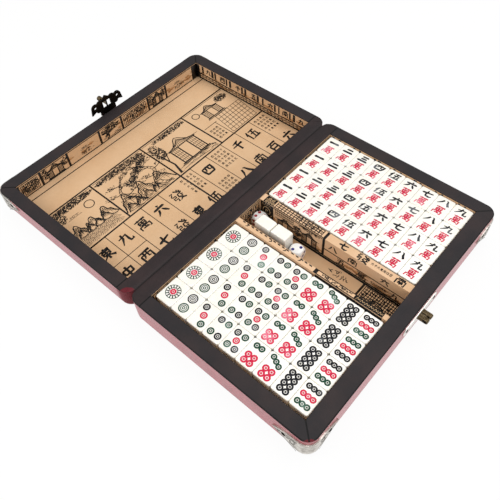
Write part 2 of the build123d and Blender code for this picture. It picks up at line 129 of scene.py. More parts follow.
class Wire:
    # one output of a node; sums with numbers or other wires add Math nodes
    def __init__(self, tree, socket):
        self.tree = tree
        self.socket = socket

    def make(self, kind, settings, inputs, out=0):
        node = self.tree.nodes.new(kind)
        for name, value in settings.items():
            setattr(node, name, value)
        for key, value in inputs.items():
            plug(self.tree, node.inputs[key], value)
        return Wire(self.tree, node.outputs[out])

    def sum(self, operation, first, second=0.0):
        return self.make("ShaderNodeMath", {"operation": operation}, {0: first, 1: second})

    def __add__(self, other):
        return self.sum("ADD", self, other)

    __radd__ = __add__

    def __sub__(self, other):
        return self.sum("SUBTRACT", self, other)

    def __rsub__(self, other):
        return self.sum("SUBTRACT", other, self)

    def __mul__(self, other):
        return self.sum("MULTIPLY", self, other)

    __rmul__ = __mul__

    def __truediv__(self, other):
        return self.sum("DIVIDE", self, other)

    def __abs__(self):
        return self.sum("ABSOLUTE", self)

    def __lt__(self, other):
        return self.sum("LESS_THAN", self, other)

    def __gt__(self, other):
        return self.sum("GREATER_THAN", self, other)

    def most(self, other):
        return self.sum("MAXIMUM", self, other)

    def least(self, other):
        return self.sum("MINIMUM", self, other)

    def root(self):
        return self.sum("SQRT", self)

    def ramp(self, low, high):
        # 0 below low, 1 above high, smooth between them
        settings = {"interpolation_type": "SMOOTHSTEP"}
        inputs = {"Value": self, "From Min": low, "From Max": high}
        return self.make("ShaderNodeMapRange", settings, inputs)

    def axis(self, letter):
        return self.make("ShaderNodeSeparateXYZ", {}, {0: self}, out="XYZ".index(letter))

    def noise(self, scale, detail=3.0, rough=0.55):
        inputs = {"Vector": self, "Scale": scale, "Detail": detail, "Roughness": rough}
        return self.make("ShaderNodeTexNoise", {}, inputs)

    def pebbles(self, scale, edge):
        # 0 in the creases between small cells, 1 on top of them
        settings = {"feature": "DISTANCE_TO_EDGE"}
        return self.make("ShaderNodeTexVoronoi", settings, {"Vector": self, "Scale": scale}).ramp(0.0, edge)

    def stretched(self, y):
        return self.make("ShaderNodeMapping", {}, {"Vector": self, "Scale": (1.0, y, 1.0)})

    def far(self, point):
        # distance in millimetres from a point given in millimetres
        inputs = {0: self, 1: [c * mm for c in point]}
        return self.make("ShaderNodeVectorMath", {"operation": "DISTANCE"}, inputs, out="Value") / mm

    def blend(self, low, high):
        # this wire is the factor between two colours
        settings = {"data_type": "RGBA"}
        return self.make("ShaderNodeMix", settings, {0: self, 6: low, 7: high}, out=2)

    def bump(self, strength, distance=0.0001):
        inputs = {"Height": self, "Strength": strength, "Distance": distance}
        return self.make("ShaderNodeBump", {}, inputs)


def plug(tree, socket, value):
    if isinstance(value, Wire):
        tree.links.new(value.socket, socket)
    else:
        socket.default_value = value


def startMaterial(name, **fixed):
    # a new material, its shader and the place on the object that its patterns read
    material = bpy.data.materials.new(name)
    material.use_nodes = True
    tree = material.node_tree
    shader = tree.nodes["Principled BSDF"]
    for socket, value in fixed.items():
        shader.inputs[socket.replace("_", " ")].default_value = value
    place = Wire(tree, tree.nodes.new("ShaderNodeTexCoord").outputs["Object"])
    return material, shader, place


def paint(shader, place, **sockets):
    for socket, value in sockets.items():
        plug(place.tree, shader.inputs[socket.replace("_", " ")], value)


# Leather

redLook = {
    # the fourth colour here is a darker red, painted as shade at the corners beside the hinge
    "face": srgb("9c3540"), "deep": srgb("862a35"), "dry": srgb("b45f6a"), "shadedDullFold": srgb("5c0d18"),
    "sheen": srgb("ff8f9e"), "grain": 900.0, "creases": 260.0, "coat": 0.6,
    "foldReach": (8.0, 15.0), "foldUp": (5.5, 10.0),
}
blackLook = {
    "rim": (srgb("252224"), srgb("312828")), "strip": (srgb("261f20"), srgb("322626")),
    # the seam colour also paints the shade along the rims' outer edge, over a band set by edge; the crease
    # colour is painted shade along the hinge
    "dry": srgb("463b3c"), "red": srgb("5e1620"), "seam": srgb("050404"), "creaseShade": srgb("0b0808"),
    "grain": 1500.0, "seamHalf": 0.45, "edge": 0.85,
    # the near corner where the black leather stops short: its x, and how far the red reaches
    "bare": {"base": (caseSize["halfX"], 6.0, 6.6), "lid": (caseSize["hingeX"], 8.2, 9.0)},
    # half widths along the hinge, from full to none: the first pair for the painted shade in the crease, the
    # second for the wrinkles
    "creaseShadeHalf": (0.15, 1.1), "wrinkleHalf": (0.5, 5.0),
}


def redLeather(name, shadedDullCorners):
    # pebbled red with deeper patches and pale worn ones
    look = redLook
    material, shader, place = startMaterial(name, Coat_Roughness=0.2, Sheen_Weight=0.22,
                                            Sheen_Roughness=0.4, Sheen_Tint=look["sheen"])
    pebble = place.pebbles(look["grain"], 0.16)
    patch = place.noise(60.0, 5.0, 0.7).ramp(0.3, 0.75)
    worn = place.noise(150.0, 5.0, 0.7).ramp(0.6, 0.78) * 0.45
    tone = worn.blend(patch.blend(look["face"], look["deep"]), look["dry"])
    tone = (pebble * 0.25 + 0.75).blend(look["deep"], tone)
    height = pebble * 0.6 + place.noise(look["creases"], 4.0, 0.6) * 0.5
    rough = place.noise(90.0) * 0.25 + 0.36
    coat = look["coat"]
    if shadedDullCorners:
        # the sides are folded at the corners beside the hinge; there the leather is duller, and its colour
        # darker as painted shade
        nearHinge = 1 - abs(place.axis("X") / mm - caseSize["hingeX"]).ramp(*look["foldReach"])
        nearEnd = 1 - abs(abs(place.axis("Y") / mm) - caseSize["halfY"]).ramp(*look["foldReach"])
        shadedDullFold = nearHinge * nearEnd * (place.axis("Z") / mm).ramp(*look["foldUp"])
        tone = shadedDullFold.blend(tone, look["shadedDullFold"])
        rough = rough + shadedDullFold * 0.3
        coat = (1 - shadedDullFold) * look["coat"]
    paint(shader, place, Base_Color=tone, Roughness=rough, Coat_Weight=coat,
          Normal=height.bump(0.22, 0.0002))
    return material


def blackTone(place, stripMask=None):
    # near black with browner patches and small dry spots; the strip over the hinge is a touch redder
    patch = place.noise(35.0, 4.0, 0.6).ramp(0.35, 0.7)
    tone = patch.blend(*blackLook["strip"])
    if stripMask:
        tone = stripMask.blend(patch.blend(*blackLook["rim"]), tone)
    dry = place.noise(420.0, 4.0, 0.7).ramp(0.62, 0.8) * 0.35
    return dry.blend(tone, blackLook["dry"])


def bareMask(place, half):
    # where the black leather stops short of a near corner
    cornerX, low, high = blackLook["bare"][half]
    ragged = place.noise(300.0, 2.0) * 1.6
    return 1 - (place.far((cornerX, -caseSize["halfY"], caseSize["rim"])) + ragged).ramp(low, high)


def rimLeather(name, half):
    # near black leather with dark seams, painted shade along the rolled outer edge and red where it stops
    # short
    look, inX, inY = blackLook, halves[half]["insideX"], halves[half]["insideY"]
    material, shader, place = startMaterial(name, Specular_IOR_Level=0.22)
    # grows from the half's middle towards the hinge
    towards = (halves[half]["middleX"] - place.axis("X") / mm) * halves[half]["frontWay"]
    x = abs(towards)
    y = abs(place.axis("Y") / mm)
    halfX, halfY, cornerR = caseSize["halfX"], caseSize["halfY"], caseSize["cornerR"]
    # distance in from the rounded outline
    overX = (x - (halfX - cornerR)).most(0.0)
    overY = (y - (halfY - cornerR)).most(0.0)
    inward = cornerR - (overX * overX + overY * overY).root()
    straight = (halfX - x).least(halfY - y)
    # distance from the line between the inner and outer corner
    u, v = x - inX, y - inY
    long = hypot(halfX - inX, halfY - inY)
    off = abs(u * ((halfY - inY) / long) - v * ((halfX - inX) / long))
    fine, wide = look["seamHalf"] * 0.6, look["seamHalf"] * 1.6
    mitre = (1 - off.ramp(fine, wide)) * (u > -0.5) * (towards < 0.0)
    # the hinge strip runs over the corners beside it and ends in a straight seam
    straightSeam = (1 - abs(u).ramp(fine, wide)) * (v > -0.5) * (towards > 0.0)
    seam = mitre.most(straightSeam)
    tone = blackTone(place, (u > 0.0) * (towards > 0.0))
    # painted shade: a band along the outer edge darkened towards the seams' near black
    edgeShade = (1 - inward.least(straight).ramp(look["edge"] * 0.5, look["edge"] * 1.3)) * 0.75
    tone = edgeShade.blend(tone, look["seam"])
    tone = bareMask(place, half).blend(tone, look["red"])
    tone = seam.blend(tone, look["seam"])
    height = place.pebbles(look["grain"], 0.2) * 0.35 + place.noise(300.0, 4.0) * 0.6 - seam * 1.5
    paint(shader, place, Base_Color=tone, Roughness=place.noise(60.0) * 0.2 + 0.47,
          Normal=height.bump(0.3, 0.00015))
    return material


def hingeLeather():
    # the strip over the hinge, creased and wrinkled along its middle
    look = blackLook
    material, shader, place = startMaterial("hingeLeather", Specular_IOR_Level=0.22)
    beyond = place.axis("X") / mm - caseSize["hingeX"]
    x = abs(beyond)
    tone = (bareMask(place, "lid") * (beyond < -0.6)).blend(blackTone(place), look["red"])
    # painted shade: the colour darkens along the crease over the hinge
    tone = ((1 - x.ramp(*look["creaseShadeHalf"])) * 0.8).blend(tone, look["creaseShade"])
    wrinkle = place.stretched(0.35).noise(500.0, 4.0, 0.65) * (1 - x.ramp(*look["wrinkleHalf"]))
    height = place.pebbles(look["grain"], 0.2) * 0.35 + wrinkle * 1.2 + place.noise(300.0, 4.0) * 0.5
    paint(shader, place, Base_Color=tone, Roughness=place.noise(60.0) * 0.2 + 0.45,
          Normal=height.bump(0.32, 0.00015))
    return material


# Paper, wood, resin, paint and metal

def paperMaterial(name, base, shade):
    material, shader, place = startMaterial(name)
    cloud = place.noise(30.0, 4.0, 0.6).ramp(0.3, 0.75)
    fibre = place.stretched(7.0).noise(700.0, 5.0, 0.7)
    tone = cloud.blend(srgb(base), srgb(shade))
    tone = (fibre.ramp(0.5, 0.75) * 0.3).blend(tone, srgb("b98a58"))
    tone = (place.noise(1600.0, 2.0).ramp(0.66, 0.74) * 0.25).blend(tone, srgb("8d6238"))
    paint(shader, place, Base_Color=tone, Roughness=fibre * 0.12 + 0.78, Normal=fibre.bump(0.12))
    return material


def woodMaterial(name):
    material, shader, place = startMaterial(name)
    grain = place.stretched(0.08).noise(420.0, 6.0, 0.6)
    tone = grain.ramp(0.35, 0.65).blend(srgb("b98f61"), srgb("d3ae7f"))
    paint(shader, place, Base_Color=tone, Roughness=grain * 0.2 + 0.6, Normal=grain.bump(0.15))
    return material


def tileMaterial():
    # ivory resin: almost white, with faint clouds and warm flecks, and a high polish
    material, shader, place = startMaterial(
        "tileIvory", Coat_Weight=0.35, Coat_Roughness=0.12, Subsurface_Weight=0.06,
        Subsurface_Scale=0.002, Subsurface_Radius=(1.0, 0.8, 0.5))
    cloud = place.noise(160.0, 3.0).ramp(0.3, 0.7)
    tone = cloud.blend(srgb("f3f0e9"), srgb("f0ece1"))
    tone = (place.noise(900.0, 2.0).ramp(0.7, 0.76) * 0.3).blend(tone, srgb("e3d3ae"))
    paint(shader, place, Base_Color=tone, Roughness=place.noise(400.0, 2.0) * 0.1 + 0.2,
          Normal=place.noise(500.0, 2.0).bump(0.03))
    return material


def inkMaterial(name, ink, worn, share):
    # engraved paint or printed ink, paler where it has rubbed thin
    material, shader, place = startMaterial(name, Specular_IOR_Level=0.25)
    rubbed = place.noise(48.0, 3.0, 0.6).ramp(0.54, 0.66) * share
    tone = rubbed.blend(srgb(ink), srgb(worn))
    paint(shader, place, Base_Color=tone, Roughness=place.noise(500.0, 2.0) * 0.2 + 0.38)
    return material


def metalMaterial(name, face, dark, rough, age=0.6):
    material, shader, place = startMaterial(name, Metallic=1.0)
    tarnish = place.noise(260.0, 5.0, 0.65)
    spots = place.noise(1400.0, 3.0).ramp(0.55, 0.72)
    tone = (tarnish.ramp(0.35, 0.68) * age).blend(srgb(face), srgb(dark))
    tone = (spots * 0.4 * age).blend(tone, srgb(dark))
    paint(shader, place, Base_Color=tone, Roughness=tarnish * 0.3 + rough,
          Normal=(tarnish + spots * 0.3).bump(0.2))
    return material


plainWood = woodMaterial("plainWood")
tileIvory = tileMaterial()
guardSilver = metalMaterial("guardSilver", "dcd7cf", "6a6259", 0.26, 0.55)
plateSilver = metalMaterial("plateSilver", "f0eee9", "a8a299", 0.3, 0.35)
nailDark = metalMaterial("nailDark", "241f1b", "0b0908", 0.42)
agedBronze = metalMaterial("agedBronze", "7a6a50", "2a231b", 0.34)
leafBronze = metalMaterial("leafBronze", "2c2721", "0d0b09", 0.4, 0.9)
grooveDark = metalMaterial("grooveDark", "1d1814", "0b0908", 0.5)
printInk = inkMaterial("printInk", "120d0b", "3a2b1e", 0.25)
scrollInk = inkMaterial("scrollInk", "c9a67c", "8d7250", 0.5)
washAndShadowInk = inkMaterial("washAndShadowInk", "b4875c", "c39a70", 0.6)
tileInks = [
    inkMaterial("paintBlack", "16171d", "7d8084", 0.65),
    inkMaterial("paintGreen", "1d4634", "86a394", 0.65),
    inkMaterial("paintRed", "d4274a", "f28aa0", 0.75),
    inkMaterial("paintBlue", "27367c", "7f8bb5", 0.5),
]


def wear(material, *nodeNames):
    for name in nodeNames:
        mesh = nodes[name].data
        mesh.materials.clear()
        mesh.materials.append(material)


boards = ["base_floor_board", "lid_top_board"]
boards += [f"{half}_{side}_wall" for half in halves for side in ("front", "rear", "near", "far")]
wear(plainWood, *boards)
wear(redLeather("redLeatherBase", False), "base_bottom_leather", "base_side_leather")
wear(redLeather("redLeatherLid", True), "lid_top_leather", "lid_side_leather")
wear(rimLeather("rimLeatherBase", "base"), "base_rim_leather", "base_hinge_leather")
wear(rimLeather("rimLeatherLid", "lid"), "lid_rim_leather", "lid_hinge_leather")
wear(paperMaterial("liningPaper", "d5b18a", "cda67d"), "base_paper_lining", "lid_paper_lining")
wear(paperMaterial("dividerPaper", "dfb994", "d5ae86"), "near_divider", "far_divider")
wear(guardSilver, "base_corner_guards", "lid_corner_guards")
wear(nailDark, "base_nails", "lid_nails")
wear(plateSilver, "base_latch_plate", "lid_hasp_plate")
wear(agedBronze, "base_staple", "hasp_pin", "hasp_peg")
wear(leafBronze, "hasp_leaf")
wear(tileIvory, *[name for name in nodes if name.startswith(("dots_", "characters_"))
                  or name.endswith(("_tiles", "spare_tile"))])
print("materials made and put on")


# Dice

dieSize = {"half": 5.5, "pipStep": 2.3, "pipEdge": (1.25, 1.36)}
dice = {
    "first_die": {"turn": 0.0, "faces": (4, 5, 1), "ink": "9c0620"},
    "second_die": {"turn": 8.0, "faces": (2, 3, 1), "ink": "170c74"},
}
pipLayout = {
    1: [(0, 0)], 2: [(-1, -1), (1, 1)], 3: [(-1, -1), (0, 0), (1, 1)],
    4: [(-1, -1), (-1, 1), (1, -1), (1, 1)], 5: [(-1, -1), (-1, 1), (0, 0), (1, -1), (1, 1)],
    6: [(-1, -1), (-1, 0), (-1, 1), (1, -1), (1, 0), (1, 1)],
}


def pipCentres(name, die):
    # the middles of the pips on all six sides; opposite sides add up to seven
    low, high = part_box(name)
    middle = (low + high) / 2 / mm
    turn = radians(die["turn"])
    across, along = Vector((cos(turn), sin(turn), 0)), Vector((-sin(turn), cos(turn), 0))
    up = Vector((0, 0, 1))
    pips = []
    for outward, right, count in zip((up, across, along), (across, along, up), die["faces"]):
        for way, shown in ((outward, count), (-outward, 7 - count)):
            other = way.cross(right)
            pips += [middle + way * dieSize["half"] + (right * a + other * b) * dieSize["pipStep"]
                     for a, b in pipLayout[shown]]
    return pips


def dieMaterial(name, centres, pipInk):
    # white resin; every pip's hollow is filled with paint
    material, shader, place = startMaterial(name, Coat_Weight=0.4, Coat_Roughness=0.1)
    clear = place.far(centres[0]).ramp(*dieSize["pipEdge"])
    for centre in centres[1:]:
        clear = clear.least(place.far(centre).ramp(*dieSize["pipEdge"]))
    cloud = place.noise(300.0, 3.0).ramp(0.3, 0.7)
    tone = clear.blend(srgb(pipInk), cloud.blend(srgb("fbfaf8"), srgb("f6f4f1")))
    paint(shader, place, Base_Color=tone, Roughness=place.noise(300.0) * 0.12 + 0.2)
    return material


for name, die in dice.items():
    wear(dieMaterial(name.replace("_", "") + "Resin", pipCentres(name, die), die["ink"]), name)
print("dice painted")


# Ink: brush strokes and rings are ribbons on flat curves, turned into thin raised films

def deselectAll():
    bpy.ops.object.select_all(action="DESELECT")


def pick(piece):
    deselectAll()
    piece.select_set(True)
    bpy.context.view_layer.objects.active = piece


def applyModifier(piece, kind, **settings):
    pick(piece)
    modifier = piece.modifiers.new(kind.title(), kind)
    for key, value in settings.items():
        setattr(modifier, key, value)
    bpy.ops.object.modifier_apply(modifier=modifier.name)


def planeAt(origin, right, up):
    # the matrix from a flat drawing in millimetres to its place on the part in metres
    right, up = Vector(right), Vector(up)
    matrix = Matrix((right, up, right.cross(up))).transposed().to_4x4()
    matrix.translation = Vector(origin)
    return Matrix.Scale(mm, 4) @ matrix


def drawInk(name, strokes, inks, plane, body, film=0.04, lift=0.012):
    # a stroke is (ink number, [(x, y, width), ...], closed), in millimetres on the plane
    curve = bpy.data.curves.new(name, "CURVE")
    curve.dimensions = "3D"
    curve.twist_mode = "Z_UP"
    curve.extrude = 1.0
    for ink in inks:
        curve.materials.append(ink)
    for order, (ink, points, closed) in enumerate(strokes):
        spline = curve.splines.new("POLY")
        spline.points.add(len(points) - 1)
        # crossing strokes lie at slightly different heights
        height = lift + 0.0015 * (order % 12)
        for point, (x, y, width) in zip(spline.points, points):
            point.co = (x, y, height, 1.0)
            point.radius = width / 2
            point.tilt = pi / 2
        spline.use_cyclic_u = closed
        spline.material_index = ink
    piece = bpy.data.objects.new(name, curve)
    bpy.context.scene.collection.objects.link(piece)
    pick(piece)
    bpy.ops.object.convert(target="MESH")
    piece = bpy.context.object
    piece.data.transform(plane)
    applyModifier(piece, "SOLIDIFY", thickness=film * mm, offset=0.0)
    piece.name = name
    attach(piece, body)
    return piece


def ring(ink, x, y, radius, width, steps=18):
    points = [(x + radius * cos(2 * pi * i / steps), y + radius * sin(2 * pi * i / steps), width)
              for i in range(steps)]
    return (ink, points, True)


def stroke(ink, *points):
    return (ink, list(points), False)


def line(ink, x0, y0, x1, y1, width):
    return stroke(ink, (x0, y0, width), (x1, y1, width))


def placed(shape, x, way=1):
    # one stroke of a repeated shape, set at x and mirrored where way is -1
    return stroke(0, *((x + way * a, b, w) for a, b, w in shape))


def spiral(x, y, reach, grow, step, count, width, squash=1.0):
    # a curl round a point; its reach grows by the same length at every step
    return stroke(0, *((x + (reach + grow * k) * cos(step * k),
                        y + squash * (reach + grow * k) * sin(step * k), width) for k in range(count)))


# Brush-written signs, as strokes of (x, y, width) in a box from -5 to 5

signs = {
    "one": [[(-4.6, -.5, .6), (-3.7, -.2, 1.5), (0, .15, 1.1), (3.3, .5, 1.5), (4.6, 0, .6)]],
    "two": [[(-2.9, 2.1, .4), (-2.1, 2.4, 1.1), (1.9, 2.8, 1.1), (2.9, 2.3, .4)],
            [(-4.6, -2.7, .5), (-3.6, -2.3, 1.2), (3.4, -1.7, 1.3), (4.6, -2.3, .5)]],
    "three": [[(-3, 3.5, .4), (-2.3, 3.7, 1), (2, 4.1, 1), (2.9, 3.6, .4)],
            [(-2.7, .1, .4), (-2, .3, 1), (1.8, .7, 1), (2.6, .2, .4)],
            [(-4.6, -3.6, .5), (-3.6, -3.3, 1.2), (3.4, -2.8, 1.2), (4.6, -3.4, .5)]],
    "four": [[(-3.9, 3, .5), (-3.5, 0, 1.1), (-3.1, -3.3, .8)],
            [(-3.9, 3, .6), (0, 3.3, 1), (3.9, 3.2, 1.2), (3.6, 0, 1.1), (3, -3.2, .7)],
            [(-1.1, 3, .9), (-1.2, 1.2, .8), (-2.2, -.4, .4)],
            [(1.2, 3, .9), (1.1, .6, .8), (1.7, 0, .8), (2.6, 0, .4)], [(-3.2, -3, .9), (3, -2.9, .9)]],
    "five": [[(-3.4, 3.7, .5), (3.4, 4.1, 1.1)], [(.2, 3.8, .9), (-1.3, -3.2, .8)],
            [(-3, .9, .7), (2.6, 1.2, 1), (2.2, -3.2, .9)], [(-4.6, -3.8, .6), (4.6, -3.3, 1.1)]],
    "fiveFormal": [[(-2.6, 4.6, .6), (-3.4, 2.6, .9), (-4.7, .6, .4)], [(-3.3, 2, .8), (-3.3, -4.5, .7)],
            [(-1.3, 3.6, .5), (4, 4, .9)], [(1.6, 3.7, .8), (.4, -3.2, .7)],
            [(-1, .8, .6), (3.4, 1.1, .9), (3.1, -3.2, .8)], [(-2, -3.8, .5), (4.8, -3.2, 1)]],
    "six": [[(-.6, 4.6, .5), (.6, 3.4, 1.1)],
            [(-4.5, 1.4, .5), (-3.4, 1.6, 1), (3.6, 2.1, 1.1), (4.5, 1.6, .5)],
            [(-1.1, .3, .9), (-2.3, -2.1, .9), (-4.4, -4.3, .3)],
            [(1.2, .2, .5), (2.6, -1.9, 1.1), (4.2, -4.3, .6)]],
    "seven": [[(-4.6, .3, .5), (-3.5, .5, 1.1), (4.2, 2.4, .7)],
            [(-.6, 4.6, .7), (-.9, 0, 1), (-.3, -3.2, 1), (2.6, -3.7, 1.1), (4.2, -2.9, .5),
             (4.3, -1.9, .3)]],
    "eight": [[(-1.3, 3.4, .9), (-2.2, .2, .9), (-4.6, -3.6, .3)],
            [(.4, 4.2, .4), (1.6, 3.4, .8), (2.6, 0, 1.1), (4.7, -3.6, 1.2)]],
    "nine": [[(-.9, 4.5, .8), (-1.3, .6, 1), (-4.4, -4.2, .3)],
            [(-4.2, 1.6, .5), (1.9, 2.6, 1), (1.8, -1.6, 1), (2.2, -3.7, 1), (4.5, -3.5, .9),
             (4.6, -1.9, .3)]],
    "hundred": [[(-4.4, 4.2, .6), (4.4, 4.5, 1)], [(-.2, 4.2, .8), (-1.6, 2.6, .4)],
            [(-2.7, 2.2, .9), (-2.5, -4.4, .9)], [(-2.7, 2.2, .7), (2.8, 2.4, 1.1), (2.6, -4.4, .9)],
            [(-2.4, -.9, .8), (2.4, -.8, .8)], [(-2.4, -4, .8), (2.5, -4, .8)]],
    "thousand": [[(3, 4.6, .4), (1.2, 3.7, 1), (-2.8, 3.1, .4)], [(-4.6, .6, .5), (4.6, 1.2, 1.1)],
            [(.1, 3.8, .8), (.1, -4.6, .9)]],
    "tenThousand": [[(-4.3, 4, .5), (4.3, 4.2, .9)], [(-1.9, 4.9, .7), (-1.6, 3.1, .6)],
            [(1.9, 4.9, .7), (1.6, 3.1, .6)], [(-2.6, 2.4, .7), (-2.4, -.6, .7)],
            [(-2.6, 2.3, .6), (2.7, 2.4, .8), (2.4, -.6, .7)], [(-2.3, .9, .6), (2.4, .9, .6)],
            [(-2.3, -.6, .6), (2.3, -.6, .6)], [(0, 2.3, .7), (0, -3.6, .7)],
            [(-3.9, -1.5, .7), (-4.1, -4.8, .5)],
            [(-3.9, -1.6, .6), (4.1, -1.4, .9), (3.9, -4.3, .8), (2.6, -4.4, .4)],
            [(-2.2, -3.3, .6), (1.6, -3.5, .6)], [(1, -2.4, .4), (2.1, -3.9, .8)]],
    "east": [[(-3.6, 3.2, .6), (3.6, 3.4, 1)], [(-2.6, 2, .8), (-2.4, -1.2, .8)],
            [(-2.6, 2, .7), (2.8, 2.1, 1), (2.5, -1.2, .8)], [(-2.3, .4, .7), (2.4, .5, .7)],
            [(-2.3, -1.1, .7), (2.4, -1.1, .7)], [(0, 4.8, .8), (0, -4.8, .9)],
            [(-.4, -1.6, .8), (-4.4, -4.4, .4)], [(.4, -1.6, .5), (4.5, -4.2, 1.2)]],
    "south": [[(-3.2, 3.6, .6), (3.2, 3.8, 1)], [(0, 4.9, .8), (0, 2, .8)],
            [(-3.9, 1.8, .8), (-3.9, -4.7, .8)],
            [(-3.9, 1.9, .6), (4, 2, 1), (3.8, -4.4, .9), (2.6, -4.5, .4)], [(-1.4, 1, .6), (-.8, -.2, .7)],
            [(1.5, 1, .7), (.8, -.2, .5)], [(-2.3, -.8, .6), (2.3, -.7, .8)],
            [(-2.4, -2.4, .6), (2.4, -2.3, .8)], [(0, -.6, .8), (0, -4.2, .8)]],
    "west": [[(-4.5, 4, .6), (4.5, 4.3, 1.1)], [(-3.8, 1.8, .8), (-3.6, -4.3, .9)],
            [(-3.8, 1.9, .6), (3.9, 2, 1), (3.7, -4.3, .9)],
            [(-1.2, 4, .8), (-1.3, .6, .8), (-2.4, -1, .4)], [(1.2, 4, .8), (1.2, -.4, .8), (2.6, -.7, .5)],
            [(-3.6, -4, .8), (3.7, -4, .9)]],
    "north": [[(-1.4, 4.6, .8), (-1.3, -4.2, .9)], [(-4.2, 1.8, .5), (-1.5, 2.2, .9)],
            [(-4.6, -3.2, .5), (-1.5, -1.9, .9)],
            [(1.1, 4.6, .8), (1.2, -3.2, .9), (2.2, -4.1, 1), (4.6, -3.9, .9), (4.7, -2.4, .3)],
            [(4.3, 2.6, .8), (1.4, 1, .4)]],
    "centre": [[(-3.4, 2.4, .9), (-3, -1.4, .9)], [(-3.4, 2.4, .8), (3.5, 2.6, 1.1), (3, -1.4, .9)],
            [(-3, -1.1, .8), (3.1, -1, .8)], [(0, 4.9, .9), (0, -4.9, 1)]],
    "fortune": [[(-3.9, 4, .5), (-1.6, 4, .8), (-4.2, 1, .4)], [(-3.6, 2.5, .5), (-2.7, 1.9, .6)],
            [(.2, 4.8, .7), (2, 2.9, .7), (4.6, 1.2, .8)], [(3.4, 4.4, .7), (2.2, 3.4, .4)],
            [(4.4, 3.3, .7), (3.2, 2.4, .4)],
            [(-3.8, .6, .5), (-1.2, .7, .7), (-1.3, -.8, .6), (-3.6, -.9, .6), (-3.7, -2.4, .6),
             (-1.2, -2.3, .7), (-1.5, -4.4, .7), (-2.4, -4.3, .4)],
            [(.7, .8, .6), (.6, -1, .6), (-.2, -1.6, .3)],
            [(.8, .8, .6), (3, .9, .7), (3.1, -.7, .7), (4.4, -.7, .5)],
            [(0, -1.9, .5), (3.4, -1.8, .8), (1.8, -3.6, .7), (-.5, -4.8, .3)],
            [(.8, -2.4, .5), (2.6, -3.8, .8), (4.6, -4.7, .7)]],
}
counting = ["one", "two", "three", "four", "fiveFormal", "six", "seven", "eight", "nine"]


def sign(name, ink, x, y, wide, tall, weight=1.0, slant=0.0):
    swell = weight * (wide + tall) / 20
    marks = []
    for points in signs[name]:
        marks.append(stroke(ink, *((x + (a + slant * b) * wide / 10, y + b * tall / 10, max(w * swell, .12))
                                   for a, b, w in points)))
    return marks


# Tile faces; a rank is the tile column's number, counted from 1

black, green, red, blue = 0, 1, 2, 3
honours = ["east", "south", "west", "north", "centre", "fortune", None]
dotSpots = {
    2: [(black, 0, 4.7, 3.9), (green, 0, -4.7, 3.9)],
    3: [(black, -3.0, 6.2, 2.8), (red, 0, 0, 2.8), (green, 3.0, -6.2, 2.8)],
    4: [(black, -3.25, 5.6, 2.75), (green, 3.25, 5.6, 2.75), (green, -3.25, -5.6, 2.75),
        (black, 3.25, -5.6, 2.75)],
    5: [(black, -3.25, 5.5, 2.7), (green, 3.25, 5.5, 2.7), (red, 0, 0, 2.6), (green, -3.25, -5.5, 2.7),
        (black, 3.25, -5.5, 2.7)],
    6: [(green, -2.15, 6.3, 2.2), (green, 2.15, 6.3, 2.2)]
       + [(red, x, y, 2.35) for y in (-2.0, -6.7) for x in (-2.45, 2.45)],
    7: [(green, -3.4, 7.3, 2.05), (green, 0, 5.5, 2.05), (green, 3.4, 3.6, 2.05)]
       + [(red, x, y, 2.35) for y in (-2.2, -6.9) for x in (-2.45, 2.45)],
    8: [(black, x, y, 2.25) for y in (6.6, 2.2, -2.2, -6.6) for x in (-2.35, 2.35)],
    9: [(ink, x, y, 2.05) for ink, y in ((black, 6.4), (red, .2), (green, -6.0)) for x in (-3.75, 0, 3.75)],
}
stickSpots = {
    2: [(green, 0, 4.6), (blue, 0, -4.6)],
    3: [(blue, 0, 4.6), (green, -3, -4.6), (green, 3, -4.6)],
    4: [(blue, -3, 4.6), (green, 3, 4.6), (green, -3, -4.6), (blue, 3, -4.6)],
    5: [(green, -4, 5.2), (blue, 4, 5.2), (red, 0, 0), (blue, -4, -5.2), (green, 4, -5.2)],
    6: [(ink, x, y) for ink, y in ((green, 4.6), (blue, -4.6)) for x in (-4, 0, 4)],
    7: [(red, 0, 6.9)] + [(ink, x, y) for ink, y in ((green, .6), (blue, -5.8)) for x in (-4, 0, 4)],
    9: [(ink, x, y) for ink, x in ((green, -4.2), (red, 0), (blue, 4.2)) for y in (6.4, 0, -6.4)],
}
# a bird on a twig: beak, body, wing, tail and legs
birdMarks = [
    stroke(green, (-1.6, 5.6, .4), (-.4, 5.2, 1.4), (.8, 3.2, 1.6), (1.4, .4, 3.2), (.4, -2.6, 2.2),
           (-1.6, -5.8, .8)),
    stroke(red, (-2.9, 5.5, .2), (-1.7, 5.7, .7)),
    stroke(blue, (1.0, 1.6, .6), (3.2, -1.2, 1.3), (4.0, -4.4, .4)),
    stroke(red, (-.6, -3.2, .7), (-3.6, -7.4, .3)),
    stroke(green, (.4, -3.4, .7), (-1.0, -8.0, .3)),
    stroke(blue, (1.4, -3.2, .7), (1.2, -7.8, .3)),
    stroke(black, (1.2, -2.0, .3), (2.6, -5.6, .3)),
    stroke(green, (-4.8, -5.4, .5), (5.2, -6.2, .8)),
    ring(black, -.4, 5.3, .3, .25, 8),
]


def coin(ink, x, y, radius):
    # rings as (radius, width, steps), the first two as shares of the coin's radius
    if radius > 3.2:
        rings = ((.88, .24, 24), (.56, .15, 18), (.24, .18, 12))
    elif radius > 2.4:
        rings = ((.78, .44, 18), (.3, .26, 10))
    else:
        rings = ((.8, .6, 18), (.2, .3, 8))
    return [ring(ink, x, y, radius * share, radius * width, steps) for share, width, steps in rings]


